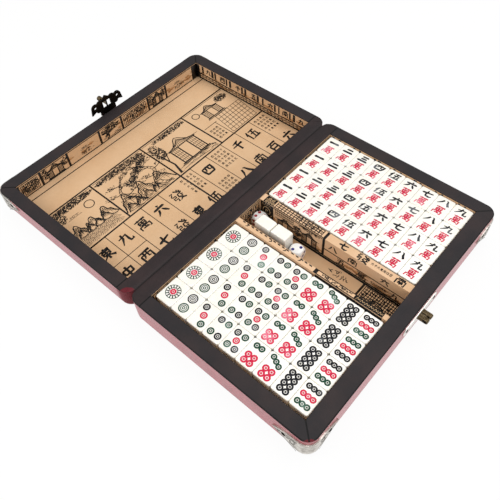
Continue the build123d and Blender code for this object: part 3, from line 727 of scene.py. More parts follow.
def wheel():
    # the big single dot: spokes between two rings, and small rings round the middle
    marks = [ring(green, 0, 0, 5.65, .5, 32), ring(black, 0, 0, 3.2, .5, 24), ring(red, 0, 0, .35, .7, 8)]
    for i in range(14):
        a, b = cos(2 * pi * i / 14), sin(2 * pi * i / 14)
        marks.append(line(green if i % 2 else black, 3.4 * a, 3.4 * b, 5.45 * a, 5.45 * b, .8))
    for i in range(8):
        turn = 2 * pi * (i + .5) / 8
        marks.append(ring(red, 1.75 * cos(turn), 1.75 * sin(turn), .45, .8, 8))
    return marks


def dotFace(rank, row):
    if rank == 1:
        return wheel()
    marks = []
    for ink, x, y, radius in dotSpots[rank]:
        if rank == 9 and row == 2:
            ink = {black: green, green: black, red: red}[ink]
        marks += coin(ink, x, y, radius)
    return marks


def characterFace(rank, _):
    return (sign(counting[rank - 1], black, 0, 5.0, 9.8, 7.2, 1.9, .16)
            + sign("tenThousand", red, -.2, -4.2, 8.2, 9.0, 1.8, .14))


def stick(ink, x, y, tall, lean=0.0):
    # a bamboo stick with three swollen joints
    joints = ((-1, .5), (-.85, 1.5), (-.15, .9), (0, 1.5), (.15, .9), (.85, 1.5), (1, .5))
    return stroke(ink, *((x + lean * k, y + tall / 2 * k, width) for k, width in joints))


def bambooFace(rank, _):
    if rank == 1:
        return birdMarks
    if rank == 8:
        return [stick(ink, x, y, 6.2, lean * flip) for y, flip in ((4.6, 1), (-4.6, -1))
                for ink, x, lean in ((green, -4.6, 0), (blue, -1.5, 1), (blue, 1.5, -1), (green, 4.6, 0))]
    return [stick(ink, x, y, 5.2 if rank in (7, 9) else 7.0) for ink, x, y in stickSpots[rank]]


def honourFace(rank, _):
    name = honours[rank - 1]
    if name:
        ink = {"centre": red, "fortune": green}.get(name, black)
        return sign(name, ink, 0, 0, 11.0, 14.0, 1.25)
    frames = []
    for x, y, width in ((5.0, 7.8, .7), (3.9, 6.7, .3)):
        frames.append((blue, [(-x, -y, width), (x, -y, width), (x, y, width), (-x, y, width)], True))
    return frames


def blossom(ink, x, y, size):
    marks = [ring(ink, x + size * cos(turn), y + size * sin(turn), size * .52, size * .3, 8)
             for turn in (pi / 2 + 2 * pi * i / 5 for i in range(5))]
    return marks + [ring(green, x, y, size * .25, size * .3, 6)]


def flowerFace(rank, row):
    lean = 1 if row % 2 else -1
    stem, bloom = (green, red) if rank == 8 else (blue, blue)
    marks = [stroke(stem, (2.6 * lean, -8.2, .9), (1.0 * lean, -4.0, .7), (-1.4 * lean, .2, .6),
                    (-.6 * lean, 3.6, .4))]
    marks += blossom(bloom, -.9 * lean, 4.2, 1.9) + blossom(red, 2.6 * lean, -.6, 1.5)
    marks += [stroke(green, (.2 * lean, -2.6, .3), (-2.2 * lean, -3.6, 1.1), (-4.0 * lean, -3.0, .3)),
              stroke(green, (1.4 * lean, -5.2, .3), (3.8 * lean, -5.0, 1.0), (5.2 * lean, -3.8, .3))]
    return marks + sign(counting[row], bloom, -4.4 * lean, 7.6, 3.0, 3.0, 1.3)


def tileSet(name, columns, middleY, layer, body, face):
    # all the faces of a group of tile columns, as one painted film
    strokes = []
    for column in columns:
        for row in range(tileGrid["rows"]):
            x = tileGrid["firstX"] + column * tileGrid["pitchX"]
            y = middleY + row * tileGrid["pitchY"]
            for ink, points, closed in face(column + 1, row):
                strokes.append((ink, [(x + a, y + b, w) for a, b, w in points], closed))
    plane = planeAt((0, 0, tileGrid["tops"][layer]), (1, 0, 0), (0, 1, 0))
    drawInk(name, strokes, tileInks, plane, body, film=0.05)


for column in range(tileGrid["columns"]):
    tileSet(f"dotsPaint{column + 1}", [column], tileGrid["nearY"], 1, "dots_layer", dotFace)
    tileSet(f"charactersPaint{column + 1}", [column], tileGrid["farY"], 1, "characters_layer", characterFace)
    tileSet(f"bambooPaint{column + 1}", [column], tileGrid["nearY"], 0, "bamboo_layer", bambooFace)
tileSet("windsPaint", range(4), tileGrid["farY"], 0, "honours_layer", honourFace)
tileSet("dragonsPaint", range(4, 7), tileGrid["farY"], 0, "honours_layer", honourFace)
tileSet("flowersPaint", range(7, 9), tileGrid["farY"], 0, "honours_layer", flowerFace)
print("tile faces painted")


# Printed lining: frames, landscapes and counting signs in the old woodblock manner, all in one ink

luck = random.Random(41)


def level(x0, x1, y, width):
    return line(0, x0, y, x1, y, width)


def post(x, y0, y1, width):
    return line(0, x, y0, x, y1, width)


def rounded(points, steps):
    # a curved brush path through the points
    ends = [points[0]] + points + [points[-1]]
    out = []
    for i in range(1, len(ends) - 2):
        nearby = ends[i - 1:i + 3]
        for k in range(steps):
            t = k / steps
            weights = (-.5 * t + t * t - .5 * t ** 3, 1 - 2.5 * t * t + 1.5 * t ** 3,
                       .5 * t + 2 * t * t - 1.5 * t ** 3, -.5 * t * t + .5 * t ** 3)
            out.append(tuple(sum(w * p[j] for w, p in zip(weights, nearby)) for j in range(3)))
    return out + [points[-1]]


def meander(x0, x1, y, size, width):
    # a row of hooked keys between two lines
    key = ((0, 0), (0, 1), (.8, 1), (.8, .35), (.4, .35), (.4, .65))
    marks = []
    x = x0
    while x + size * 1.1 <= x1:
        marks.append(stroke(0, *((x + size * a, y + size * b, width) for a, b in key)))
        x += size * 1.1
    return marks + [level(x0, x1, y - .5, width), level(x0, x1, y + size + .5, width)]


def waves(x0, x1, y0, y1, radius):
    # rows of nested arches, like scales
    marks = []
    rowStep = radius * .5
    arc = [(cos(pi * k / 8), sin(pi * k / 8)) for k in range(1, 8)]
    for j in range(int((y1 - y0) / rowStep)):
        x, y = x0 + radius * (2 if j % 2 else 1), y0 + j * rowStep
        while x + radius <= x1:
            for reach in (radius, radius * .68, radius * .36):
                marks.append(stroke(0, *((x + reach * a, y + reach * b, .36) for a, b in arc)))
            x += radius * 2
    return marks


def ridge(x0, x1, y, height, peaks, weight):
    # a rocky range: outlines, and folds that run down from them
    outline = ((0, 0), (.1, .22), (.16, .5), (.3, .62), (.4, .92), (.5, 1), (.6, .9), (.66, .62), (.8, .5),
               (.88, .24), (1, 0))
    marks = []
    width = (x1 - x0) / (peaks * .86 + .14)
    for k in range(peaks):
        left, tall = x0 + k * width * .86, height * (.66 + .34 * luck.random())
        marks.append(stroke(0, *((left + width * a, y + tall * b * (.94 + .1 * luck.random()),
                                  (.45 + .5 * luck.random()) * weight) for a, b in outline)))
        for n in range(13):
            a = .1 + .065 * n
            top = (1 - abs(a - .5) * 1.75) * (.82 + .1 * luck.random())
            low = top * (.15 + .5 * luck.random())
            bend = (a - .5) * .16
            marks.append(stroke(0, (left + width * a, y + tall * top, .5 * weight),
                                (left + width * (a + bend * .5), y + tall * (top + low) / 2, .38 * weight),
                                (left + width * (a + bend), y + tall * low, .16 * weight)))
    return marks


def leaves(x, y, reachX, reachY, count, size, weight):
    # a dark clump of small leaf strokes
    marks = []
    for _ in range(count):
        turn, share = 2 * pi * luck.random(), sqrt(luck.random())
        px, py = x + reachX * share * cos(turn), y + reachY * share * sin(turn)
        lean, long = pi * luck.random(), size * (.6 + .6 * luck.random())
        marks.append(stroke(0, *((px + long * t * cos(lean), py + long * t * sin(lean), weight * w)
                                 for t, w in ((0, .5), (.5, 1), (1, .2)))))
    return marks


def oldTree(x, y, tall, side, clumps):
    # a leaning trunk in double outline with bark ticks, boughs and clumps of leaves
    bends = ((0, 0), (.16, .26), (-.04, .55), (.12, .8), (.3, 1))
    spine = rounded([(x + tall * a * side, y + tall * b, 0) for a, b in bends], 4)
    marks = []
    for edge in (-1, 1):
        marks.append(stroke(0, *((a + edge * tall * .045 * (1.25 - k / len(spine)), b, .55)
                                 for k, (a, b, _) in enumerate(spine))))
    for a, b, _ in spine[:-3]:
        for barkX in (a - tall * .02, a, a + tall * .02):
            marks.append(line(0, barkX, b, barkX + .3, b + 1.3, .34))
    for k in range(clumps):
        a, b, _ = spine[min(len(spine) - 1, 4 + k * 2)]
        way = side if k % 2 else -side
        tipX, tipY = a + way * tall * (.16 + .1 * luck.random()), b + tall * .07
        marks.append(stroke(0, (a, b, .9), ((a + tipX) / 2, b + tall * .02, .7), (tipX, tipY, .4)))
        marks += leaves(tipX, tipY, tall * .15, tall * .07, 34, 1.5, .62)
    return marks


def cloud(x, y, size):
    # three curls on a long base line
    marks = [spiral(x + dx * size, y, size * share, -size * share / 11, .75, 9, .42, .62)
             for dx, share in ((0, 1.0), (1.5, .8), (-1.3, .7))]
    return marks + [level(x - 3 * size, x + 3.4 * size, y - size * .66, .36)]


def lattice(x0, y0, x1, y1, across, up, width):
    marks = [post(x0 + (x1 - x0) * k / across, y0, y1, width) for k in range(across + 1)]
    return marks + [level(x0, x1, y0 + (y1 - y0) * k / up, width) for k in range(up + 1)]


def pavilion(x, y, wide, tall, width):
    # a garden house: a hipped roof on four posts, with lattice windows
    half, eaves = wide / 2, y + tall * .64
    roof = ((-1.2, .66, .3), (-.5, .72, 1.0), (0, 1, .9), (.5, .72, 1.0), (1.2, .66, .3))
    marks = [stroke(0, *rounded([(x + half * a, y + tall * b, w) for a, b, w in roof], 3)),
             level(x - half * .95, x + half * .95, eaves, width * 1.4),
             level(x - half, x + half, y, width * 1.8),
             level(x - half * 1.1, x + half * 1.1, y - 1.3, width)]
    for k in range(15):
        a = k / 7 - 1
        marks.append(line(0, x + a * half * .92, y + tall * .66, x + a * half * .3,
                          y + tall * (.94 - .2 * abs(a)), width * .8))
    marks += [post(x + half * a, y, eaves, width * 1.5) for a in (-.85, -.32, .32, .85)]
    for a, b in ((-.82, -.35), (.35, .82)):
        marks += lattice(x + half * a, y + .8, x + half * b, y + tall * .6, 4, 5, width * .55)
    return marks


def ripples(x0, x1, y0, y1, count, width):
    marks = []
    for _ in range(count):
        x, y = x0 + (x1 - x0) * luck.random(), y0 + (y1 - y0) * luck.random()
        reach = min(3 + 6 * luck.random(), x1 - x)
        if reach > 1:
            marks.append(stroke(0, (x, y, .15), (x + reach / 2, y + .25, width), (x + reach, y, .15)))
    return marks


def tinySigns(x0, y0, x1, y1, across, up, size=2.7):
    # a block of small writing, in numerals and winds only
    names = ["six", "thousand", "west", "five", "south", "hundred", "east", "four", "fiveFormal", "north"]
    marks = []
    for i in range(across):
        for j in range(up):
            x, y = x0 + (x1 - x0) * (i + .5) / across, y0 + (y1 - y0) * (j + .5) / up
            marks += sign(names[luck.randrange(len(names))], 0, x, y, size, size * 1.05, 1.7)
    return marks


def hillsPanel(low, high):
    # hills over the sea, under a bank of leaves
    marks = waves(2.0, 45.0, low + 1.5, low + 12, 4.2) + ridge(2, 46, low + 13, 19, 3, 1.5)
    marks += ridge(6, 40, low + 13, 11, 4, 1.2) + [ring(0, 34, high - 16, 4.4, .8, 24)]
    marks += leaves(23, high - 5.6, 22, 3.6, 420, 2.0, .75) + leaves(7, high - 13, 5, 6, 110, 2.0, .7)
    return marks + [level(2, 46, low + 12.6, .6)] + cloud(17, high - 17, 2.2)


def cragPanel(low, high):
    # old trees on a crag
    marks = ridge(48, 104, low + 4, 24, 3, 1.6) + ridge(50, 90, low + 3, 14, 4, 1.3)
    marks += oldTree(60, low + 4, 36, 1, 6) + oldTree(95, low + 3, 40, -1, 7)
    marks += ripples(49, 100, low + 1.2, low + 5, 40, .5) + leaves(76, high - 5.8, 27, 3.6, 460, 2.0, .75)
    for k in range(6):
        marks += leaves(99 - k * 5.5, high - 10 - k * 3.4, 4.6, 3.0, 70, 1.9, .75)
    return marks


def housePanel(low, high):
    # garden house under a tree
    marks = pavilion(134, low + 8, 34, 31, .75) + leaves(112, low + 36, 6, 11, 260, 1.9, .75)
    marks += leaves(136, high - 5.6, 20, 3.0, 300, 1.9, .7) + ripples(107, 155, low + 1.5, low + 6, 40, .5)
    return marks + [stroke(0, (109, low + 2, 2.4), (112, low + 14, 1.7), (110, low + 32, 1.2)),
                    stroke(0, (111.5, low + 20, 1.0), (116, low + 30, .7), (118, low + 36, .4))]


def terracePanel(low, high):
    # a terrace paved in slanting rows, a small house and a block of small writing
    paving = {"x": 176, "wide": 32, "tall": 27, "across": 8, "up": 6, "slant": 4}
    foot = low + 2
    marks = []
    for k in range(paving["across"] + 1):
        x = paving["x"] + paving["wide"] * k / paving["across"]
        marks.append(line(0, x, foot, x + paving["slant"], foot + paving["tall"], .5))
    for k in range(paving["up"] + 1):
        t = k / paving["up"]
        x = paving["x"] + paving["slant"] * t
        marks.append(level(x, x + paving["wide"], foot + paving["tall"] * t, .5))
    marks += [ring(0, 168, high - 10, 3.6, .8, 20)]
    marks += pavilion(184, low + 31, 22, 17, .6) + leaves(203, high - 9, 7, 4.5, 190, 1.8, .7)
    marks += tinySigns(161, low + 4, 172, low + 20, 3, 4)
    return marks + [level(160, 176, low + 24, .6), post(174, low + 1, low + 24, .6)]


def signRows(wide, top, fold):
    # two rows of signs of the game and of counting, some cells with small writing
    upper = ["east", "nine", "tenThousand", "six", "fortune", None, "four", None, "thousand", "fiveFormal",
             None]
    lower = ["centre", "west", "seven", "fortune", "east", "fiveFormal", None, "eight", "south", "hundred",
             "six"]
    across = len(upper)
    cell = wide / across
    marks = [post(k * cell, 0, top, .6) for k in range(1, across) if abs(k * cell - fold) > 10]
    marks.append(level(0, cell * 2, 26.5, .6))
    for k in range(across):
        x = (k + .5) * cell
        for name, y, low, high in ((upper[k], 41, 30, 52), (lower[k], 14.5, 4, 25)):
            if name:
                marks += sign(name, 0, x, y, 12.4, 12.6, 1.75)
            else:
                marks += tinySigns(x - 7.5, low, x + 7.5, high, 4, 5)
    return marks


def lidFloorPrint():
    # the long way lies along the hinge; heights run from the hinge wall to the front wall
    panels = (0, 47.0, 105.0, 158.0, 213.0)
    wide, fold, bandLow, bandHigh, stripHigh = panels[-1], panels[2], 55.0, 108.5, 133.0
    marks = [level(0, wide, stripHigh, 1.0), level(0, wide, bandHigh, 1.5), level(0, wide, bandLow, 1.5)]
    marks += [post(x, 0 if x == fold else bandLow, bandHigh, 1.5) for x in panels[1:-1]]
    marks += [level(low + 1.5, high - 1.5, bandHigh - 2.0, .45) for low, high in zip(panels, panels[1:])]
    for panel in (hillsPanel, cragPanel, housePanel, terracePanel):
        marks += panel(bandLow, bandHigh)
    return marks + signRows(wide, bandLow, fold)


def frontWallPrint(length, height, seed):
    # a low printed wall: bars between landscapes and houses
    kinds = ("hatch", "house", "plain", "trees", "hatch", "house", "plain")
    marks = [level(0, length, .5, 1.1), level(0, length, height - .6, .8)]
    x, k = 1.0, seed
    while x < length - 16:
        span = 22 + (k * 7) % 17
        kind, middle, tall = kinds[k % 7], x + span * .5, height - 1.6
        marks.append(post(x, .8, height, 2.2))
        if kind == "hatch":
            marks += lattice(x + 2.5, 2.4, x + span - 3, height - 2.4, int(span / 2.2), 2, .6)
            marks += leaves(middle, height * .5, span * .4, tall * .36, 170, 1.8, .75)
        elif kind == "house":
            marks += pavilion(middle, 1.6, span * .62, tall * .9, .7)
            marks += leaves(x + 4, height * .55, 3.4, tall * .4, 90, 1.7, .75)
            marks += leaves(x + span - 4, height * .6, 3.0, tall * .3, 70, 1.7, .7)
        elif kind == "trees":
            marks += oldTree(x + span * .3, 1.2, tall * .85, 1, 3)
            marks += leaves(middle, height * .68, span * .4, tall * .26, 200, 1.8, .75)
            marks += ripples(x + 2, x + span - 2, 1.4, 4, 12, .5)
        else:
            marks += leaves(middle + 3, height * .3, span * .2, tall * .16, 40, 1.6, .6)
            marks += cloud(middle, height * .62, 1.5)
        x += span
        k += 1
    return marks


def keyWallPrint(length, height):
    # a low printed wall: a key border with bars and signs over it
    names = ("nine", "west", "thousand", "five", "six", "south")
    marks = [level(0, length, .5, 1.1)] + meander(0, length, 1.9, 4.0, 1.0)
    x, k = 3.5, 0
    while x < length - 6:
        if k % 3 == 2:
            marks += sign(names[(k // 3) % 6], 0, x + 3.6, 11.6, 7.2, 6.4, 2.0)
            x += 9.0
        else:
            marks.append(post(x, 7.8, height, 1.4 + 1.6 * luck.random()))
            x += 3.8 + 3.0 * luck.random()
        k += 1
    return marks


def washAndShadowStrokes(length, height, count):
    # brown wash strokes behind the line work; on the far divider's channel face they are kept low, as painted
    # shadow towards the floor
    marks = []
    for _ in range(count):
        x, y, reach = length * luck.random(), height * (.2 + .6 * luck.random()), 4 + 7 * luck.random()
        reach = min(reach, length - x)
        middle = (x + reach * .5, y + .5, 2.4 + 2 * luck.random())
        marks.append(stroke(0, (x, y, .6), middle, (x + reach, y, .5)))
    return marks


def printOn(name, marks, origin, right, up, body, ink=printInk, lift=0.012):
    drawInk(name, marks, [ink], planeAt(origin, right, up), body, lift=lift)


def printLining():
    sizes = ("insideX", "insideY", "floor", "wall")
    x, y, floor, tall = (halves["lid"][key] for key in sizes)
    front, rear, wide, long = alongX("lid", x), alongX("lid", -x), 2 * y, 2 * x
    printOn("lidFloorPrint", lidFloorPrint(), (rear, -y, floor), (0, 1, 0), (-1, 0, 0), "lid")
    # name, marks, the corner at the drawing's foot, its way along the wall, and the length that is washed
    frontMarks = frontWallPrint(wide - 8, tall, 0) + [post(wide - 3.7, 0, tall, 7.4)]
    farMarks = keyWallPrint(long, tall) + [post(2.0, 0, tall, 4.0)]
    walls = [
        ("lidFrontWall", frontMarks, (front, -y, floor), (0, 1, 0), wide),
        ("lidFarWall", farMarks, (front, y, floor), (1, 0, 0), int(long)),
        ("lidNearWall", keyWallPrint(long, tall), (rear, -y, floor), (-1, 0, 0), int(long)),
        ("lidRearWall", frontWallPrint(wide, tall, 2), (rear, y, floor), (0, -1, 0), wide),
    ]
    x, y, floor, tall = (halves["base"][key] for key in sizes)
    wide, long = 2 * y, 2 * x
    walls += [
        ("baseRearWall", frontWallPrint(wide, tall, 1), (-x, -y, floor), (0, 1, 0), wide),
        ("baseFrontWall", frontWallPrint(wide, tall, 4), (x, y, floor), (0, -1, 0), wide),
        ("baseFarWall", keyWallPrint(long, tall), (-x, y, floor), (1, 0, 0), int(long)),
        ("baseNearWall", keyWallPrint(long, tall), (x, -y, floor), (-1, 0, 0), int(long)),
    ]
    for name, marks, corner, along, length in walls:
        body = "lid" if name.startswith("lid") else "base"
        wash = washAndShadowStrokes(length, halves[body]["wall"] - 3, 22)
        printOn(name + "Wash", wash, corner, along, (0, 0, 1), body, washAndShadowInk, 0)
        printOn(name + "Print", marks, corner, along, (0, 0, 1), body, lift=0.03)


printLining()
print("lining printed")


# The two dividers and the channel floor between them

def channelLines():
    nearLow, nearHigh = edges("near_divider")
    farLow, farHigh = edges("far_divider")
    return {"length": nearHigh[0] - nearLow[0], "floor": nearLow[2], "top": nearHigh[2],
            "tall": halves["base"]["wall"], "nearFace": nearLow[1], "nearInner": nearHigh[1],
            "farInner": farLow[1], "farFace": farHigh[1]}


channel = channelLines()


def printDivider(name, marks, face, side, ink=printInk, lift=0.012):
    # side tells how the drawing lies: on top, on the floor, or upright as read from the near or the far side
    way = -1 if side == "far" else 1
    up = (0, 0, 1) if side in ("near", "far") else (0, 1, 0)
    height = channel["top"] if side == "top" else channel["floor"]
    start = (-way * channel["length"] / 2, channel[face], height)
    printOn(name, marks, start, (way, 0, 0), up, "base", ink, lift)


def nearDividerPrint():
    # ticks and a dark strip with scrolls on top, a band over its outer face
    tick = ((0, 3.6, .4), (.9, 3.4, 1.1), (2.0, 3.4, 1.0), (2.9, 3.0, .4))
    comma = ((0, .9, .4), (1.5, 2.0, 1.1), (1.2, 3.6, .5))
    crook = ((0, 1.0, .3), (.9, 3.1, .7), (2.0, 1.6, .55), (2.9, 2.9, .4), (3.3, 1.2, .2))
    top = [post(76.5, 0, 4.2, 3.0), level(77, 134, .4, .8), level(77, 134, 3.85, .7),
           level(110, 134, 2.1, 3.2)]
    x = 5.0
    while x < 72:
        top.append(placed(tick, x))
        x += 3.7 + 1.1 * luck.random()
    top += [placed(comma, x) for x in (9.5, 33, 46.5, 60.5)]
    top += leaves(95, 2.1, 13.5, 1.2, 70, 1.4, .6)
    printDivider("nearDividerTopPrint", top, "nearFace", "top")
    scroll = [placed(crook, 111.5 + 3.7 * k) for k in range(6)]
    printDivider("nearDividerScroll", scroll, "nearFace", "top", scrollInk, 0.05)
    band = [level(77, 134, 12.0, 16.0), level(4, 134, .6, .8)] + meander(6, 76, 14.0, 3.0, .5)
    printDivider("nearDividerOuterPrint", band, "nearFace", "near")
    inner = frontWallPrint(channel["length"], channel["tall"], 1)
    printDivider("nearDividerChannelPrint", inner, "nearInner", "far")


def farDividerPrint():
    # a lattice and signs on top; a dark block, two houses and signs on the face over the channel
    length = channel["length"]
    arch = ((0, 3.2, .2), (1.2, 3.7, .5), (2.2, 3.2, .2))
    peak = ((0, 16.6, .2), (1.2, 19.4, .5), (2.2, 17.2, .2))
    top = lattice(15, .5, 60, 6.6, 15, 3, .7) + [post(63.5, 0, 7, 2.2), level(3.6, 13.5, 3.5, 6.8)]
    top += leaves(46, 3.6, 14, 2.6, 90, 1.6, .6) + [level(13.5, 64, .4, .7)]
    top += sign("seven", 0, 79, 3.5, 8.6, 6.6, 1.9) + sign("fortune", 0, 96, 3.5, 11, 6.6, 1.9)
    top += tinySigns(103, 2.2, 121, 5.4, 7, 1, 2.4) + sign("south", 0, 128, 3.5, 9, 6.4, 1.8)
    printDivider("farDividerTopPrint", top, "farInner", "top")
    curls = [spiral(x, y, .25, .12, .7, 12, .5, .8)
             for x, y in ((5.6, 1.8), (8.6, 1.7), (11.6, 1.9), (6.9, 4.7), (10.2, 4.8))]
    curls += [placed(arch, 4.2 + 2.9 * k) for k in range(3)]
    printDivider("farDividerTopScroll", curls, "farInner", "top", scrollInk, 0.05)
    # kept to the lower part of the face: painted shadow towards the channel floor
    printDivider("farDividerWashShadow", washAndShadowStrokes(length, 10, 26), "farInner", "near", washAndShadowInk, 0)
    # the long line just above the face's foot is painted shadow where the face meets the channel floor
    face = [level(63.5, length, 9.6, 1.1), post(63.5, 0, 21, 2.2), level(0, length, .8, 1.6),
            post(7.5, 1, 20.6, 13.0), level(14, 62, 19.8, .8)] + lattice(16, 14, 34, 19.4, 9, 2, .6)
    face += pavilion(26, 2.4, 17, 11.5, .7) + pavilion(50, 2.2, 16, 14, .7)
    face += leaves(38, 9, 4, 6.4, 150, 1.8, .75) + leaves(50, 18, 10, 1.6, 80, 1.6, .65)
    face += ripples(15, 60, 1.4, 3, 20, .6)
    face += sign("five", 0, 80, 5.0, 8.8, 7.0, 1.8) + sign("tenThousand", 0, 99, 5.0, 10, 7.2, 1.6)
    face += tinySigns(107, 3.2, 121, 7.2, 6, 1, 2.6) + sign("nine", 0, 128, 5.0, 8, 6.8, 1.8)
    face += sign("eight", 0, 72, 15.0, 8, 6.6, 1.7) + sign("south", 0, 90, 15.0, 9, 7, 1.6)
    face += sign("six", 0, 118, 15.0, 8, 6.6, 1.7)
    printDivider("farDividerChannelPrint", face, "farInner", "near", lift=0.03)
    scroll = [spiral(7.5, 11, .6, .24, .6, 20, .6, 1.25), stroke(0, (2.6, 3, .3), (4.2, 6, .5), (2.4, 9, .3)),
              stroke(0, (12.6, 3, .3), (10.7, 6, .5), (12.8, 9, .3))]
    scroll += [placed(peak, 2.4 + 2.3 * k) for k in range(4)]
    printDivider("farDividerScroll", scroll, "farInner", "near", scrollInk, 0.08)
    outer = frontWallPrint(length, channel["tall"], 4)
    printDivider("farDividerOuterPrint", outer, "farFace", "far")


def channelFloorPrint():
    # the line along the floor's far side is painted shadow at the foot of the far divider
    marks = [post(104, 0, 24.6, 1.8), level(34, channel["length"], 23.8, 1.6)]
    marks += lattice(106, 1.5, 135, 22.5, 14, 9, .7) + leaves(120, 12, 13, 9, 160, 2.0, .8)
    marks += leaves(84, 17, 9, 3, 30, 2.0, .7)
    printDivider("channelFloorPrint", marks, "nearInner", "floor")


nearDividerPrint()
farDividerPrint()
channelFloorPrint()
print("dividers printed")


# Leather hinge: one strip over both rear rims, creased along the hinge line

def finishLook(piece, material, smoothAngle):
    pick(piece)
    bpy.ops.object.shade_smooth_by_angle(angle=radians(smoothAngle))
    piece.data.materials.clear()
    piece.data.materials.append(material)


def hingeStrip():
    strip = {"stationsX": 48, "stationsY": 72, "creaseDeep": 0.9, "creaseWide": 1.1, "thick": 0.96,
             "edgeR": 0.5, "bendHalf": 0.8, "waveHigh": 0.06, "gap": 0.03}
    hingeX, halfX, rim = caseSize["hingeX"], caseSize["halfX"], caseSize["rim"]
    halfY, cornerR = caseSize["halfY"], caseSize["cornerR"]
    bpy.ops.mesh.primitive_grid_add(x_subdivisions=strip["stationsX"], y_subdivisions=strip["stationsY"],
                                    size=2)
    piece = bpy.context.object
    piece.name = "hingeStrip"
    for vertex in piece.data.vertices:
        # even steps across the strip, closer together at the crease
        t = vertex.co.x * (0.35 + 0.65 * abs(vertex.co.x))
        side = "base" if t > 0 else "lid"
        inX, inY, frontWay = (halves[side][key] for key in ("insideX", "insideY", "frontWay"))
        x = hingeX + t * (halfX - inX)
        inward = halfX - inX - abs(x - hingeX)  # from the strip's long edge
        # the ends follow the rim's mitre, and the rounded corner beside the hinge
        reach = inY + inward * (halfY - inY) / (halfX - inX)
        if abs(x - hingeX) < cornerR:
            fromCentre = x - hingeX - cornerR * frontWay
            reach = min(reach, halfY - cornerR + sqrt(max(cornerR ** 2 - fromCentre ** 2, 0)))
        y = vertex.co.y * (reach - strip["gap"])
        drop = strip["creaseDeep"] / (1 + ((x - hingeX) / strip["creaseWide"]) ** 2)
        wave = strip["waveHigh"] * sin(y * .21) * sin((x - hingeX) * .9 + y * .03)
        if inward < strip["edgeR"]:
            drop += strip["edgeR"] - sqrt(strip["edgeR"] ** 2 - (strip["edgeR"] - inward) ** 2)
        vertex.co = Vector((x, y, rim - drop - abs(wave))) * mm
    applyModifier(piece, "SOLIDIFY", thickness=strip["thick"] * mm, offset=-1.0)
    finishLook(piece, hingeLeather(), 35)
    bendFrom, bendTo = hingeX + strip["bendHalf"], hingeX - strip["bendHalf"]
    bendFrom * mm
    rim * mm
    bendTo * mm
    rim * mm
    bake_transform(piece)
    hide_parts("base_hinge_leather", "lid_hinge_leather")


hingeStrip()
print("hinge strip made")


# Metalwork: soft edges on the stamped parts, scrolls on the guards, and domed nail heads

def softened(node, name, material, width, body):
    # a copy of a CAD node with its triangles merged into flats, and every sharp edge rounded by width
    merge, flatAngle, edgeAngle = 0.002, 3, 40
    piece = nodes[node].copy()
    piece.data = nodes[node].data.copy()
    piece.parent = None
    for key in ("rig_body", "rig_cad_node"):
        if key in piece:
            del piece[key]
    piece.name = name
    bpy.context.scene.collection.objects.link(piece)
    pick(piece)
    bpy.ops.object.mode_set(mode="EDIT")
    bpy.ops.mesh.select_all(action="SELECT")
    bpy.ops.mesh.remove_doubles(threshold=merge * mm)
    bpy.ops.mesh.dissolve_limited(angle_limit=radians(flatAngle))
    bpy.ops.object.mode_set(mode="OBJECT")
    applyModifier(piece, "BEVEL", width=width * mm, segments=2, limit_method="ANGLE",
                  angle_limit=radians(edgeAngle))
    finishLook(piece, material, edgeAngle)
    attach(piece, body)
    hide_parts(node)


softened("hasp_leaf", "haspLeaf", leafBronze, 0.22, "hasp")
softened("hasp_peg", "haspPeg", agedBronze, 0.12, "hasp")
softened("base_staple", "latchStaple", agedBronze, 0.25, "base")
softened("base_latch_plate", "latchPlate", plateSilver, 0.2, "base")
softened("lid_hasp_plate", "haspPlate", plateSilver, 0.18, "lid")


def stapleGrooves():
    # dark grooves along the top of both cheeks and round the eye
    staple = {"fromX": 82.6, "toX": 88.6, "grooves": (1.45, 2.25, 3.05), "eyeX": 87.7}
    (_, nearY, bottom), (_, _, top) = edges("base_staple")
    middle = caseSize["latchY"]
    grooves = [level(staple["fromX"], staple["toX"], middle + side * at, .34) for side in (-1, 1)
               for at in staple["grooves"]]
    above = planeAt((0, 0, top), (1, 0, 0), (0, 1, 0))
    piece = drawInk("stapleGrooves", grooves, [grooveDark], above, "base")
    eye = [ring(0, 0, 0, 1.45, .8, 16)]
    beside = planeAt((staple["eyeX"], nearY, (bottom + top) / 2), (1, 0, 0), (0, 0, 1))
    piece = drawInk("stapleEye", eye, [grooveDark], beside, "base")


stapleGrooves()


# The guards and the nails stand this far out of the leather
proud = edges("base_corner_guards")[1][0] - alongX("base", caseSize["halfX"])


def guardWing(way):
    # pressed scrolls on one wing; distances run away from the corner
    outline = ((9.5, 15.8), (13, 17.8), (18, 16.2), (27.4, 13.2), (22, 9.6), (16.5, 6.6), (12.5, 3.8),
               (9.5, 1.4))
    flicks = (((10, 6.2, .2), (12.2, 7.6, .9), (15.5, 8.4, .3)),
              ((10, 14.6, .3), (12.6, 16.2, .8), (16, 15.6, .2)),
              ((22, 13.8, .2), (23.6, 12.6, .8), (25.6, 13.0, .2)))
    marks = [placed([(a, b, .5) for a, b in outline], 0, way)]
    for a, b, reach, flip in ((13.4, 11.6, 3.6, way), (19.6, 12.4, 2.4, -way)):
        marks.append(spiral(way * a, b, flip * reach, -flip * reach / 15, .62, 13, .62, flip))
    return marks + [placed(flick, 0, way) for flick in flicks]


def guardScrolls(half):
    up, cornerX = Vector((0, 0, 1)), alongX(half, caseSize["halfX"])
    outX, foot = halves[half]["frontWay"], halves[half]["foot"]
    for side in (-1, 1):
        cornerY = side * caseSize["halfY"]
        for kind, outward, away, point in (
                ("Front", (outX, 0, 0), (0, -side, 0), (cornerX + outX * proud, cornerY, foot)),
                ("Side", (0, side, 0), (-outX, 0, 0), (cornerX, cornerY + side * proud, foot))):
            right = up.cross(Vector(outward))
            piece = drawInk(f"{half}GuardScroll{kind}{'Near' if side < 0 else 'Far'}",
                            guardWing(right.dot(Vector(away))), [grooveDark], planeAt(point, right, up), half)


guardScrolls("base")
guardScrolls("lid")


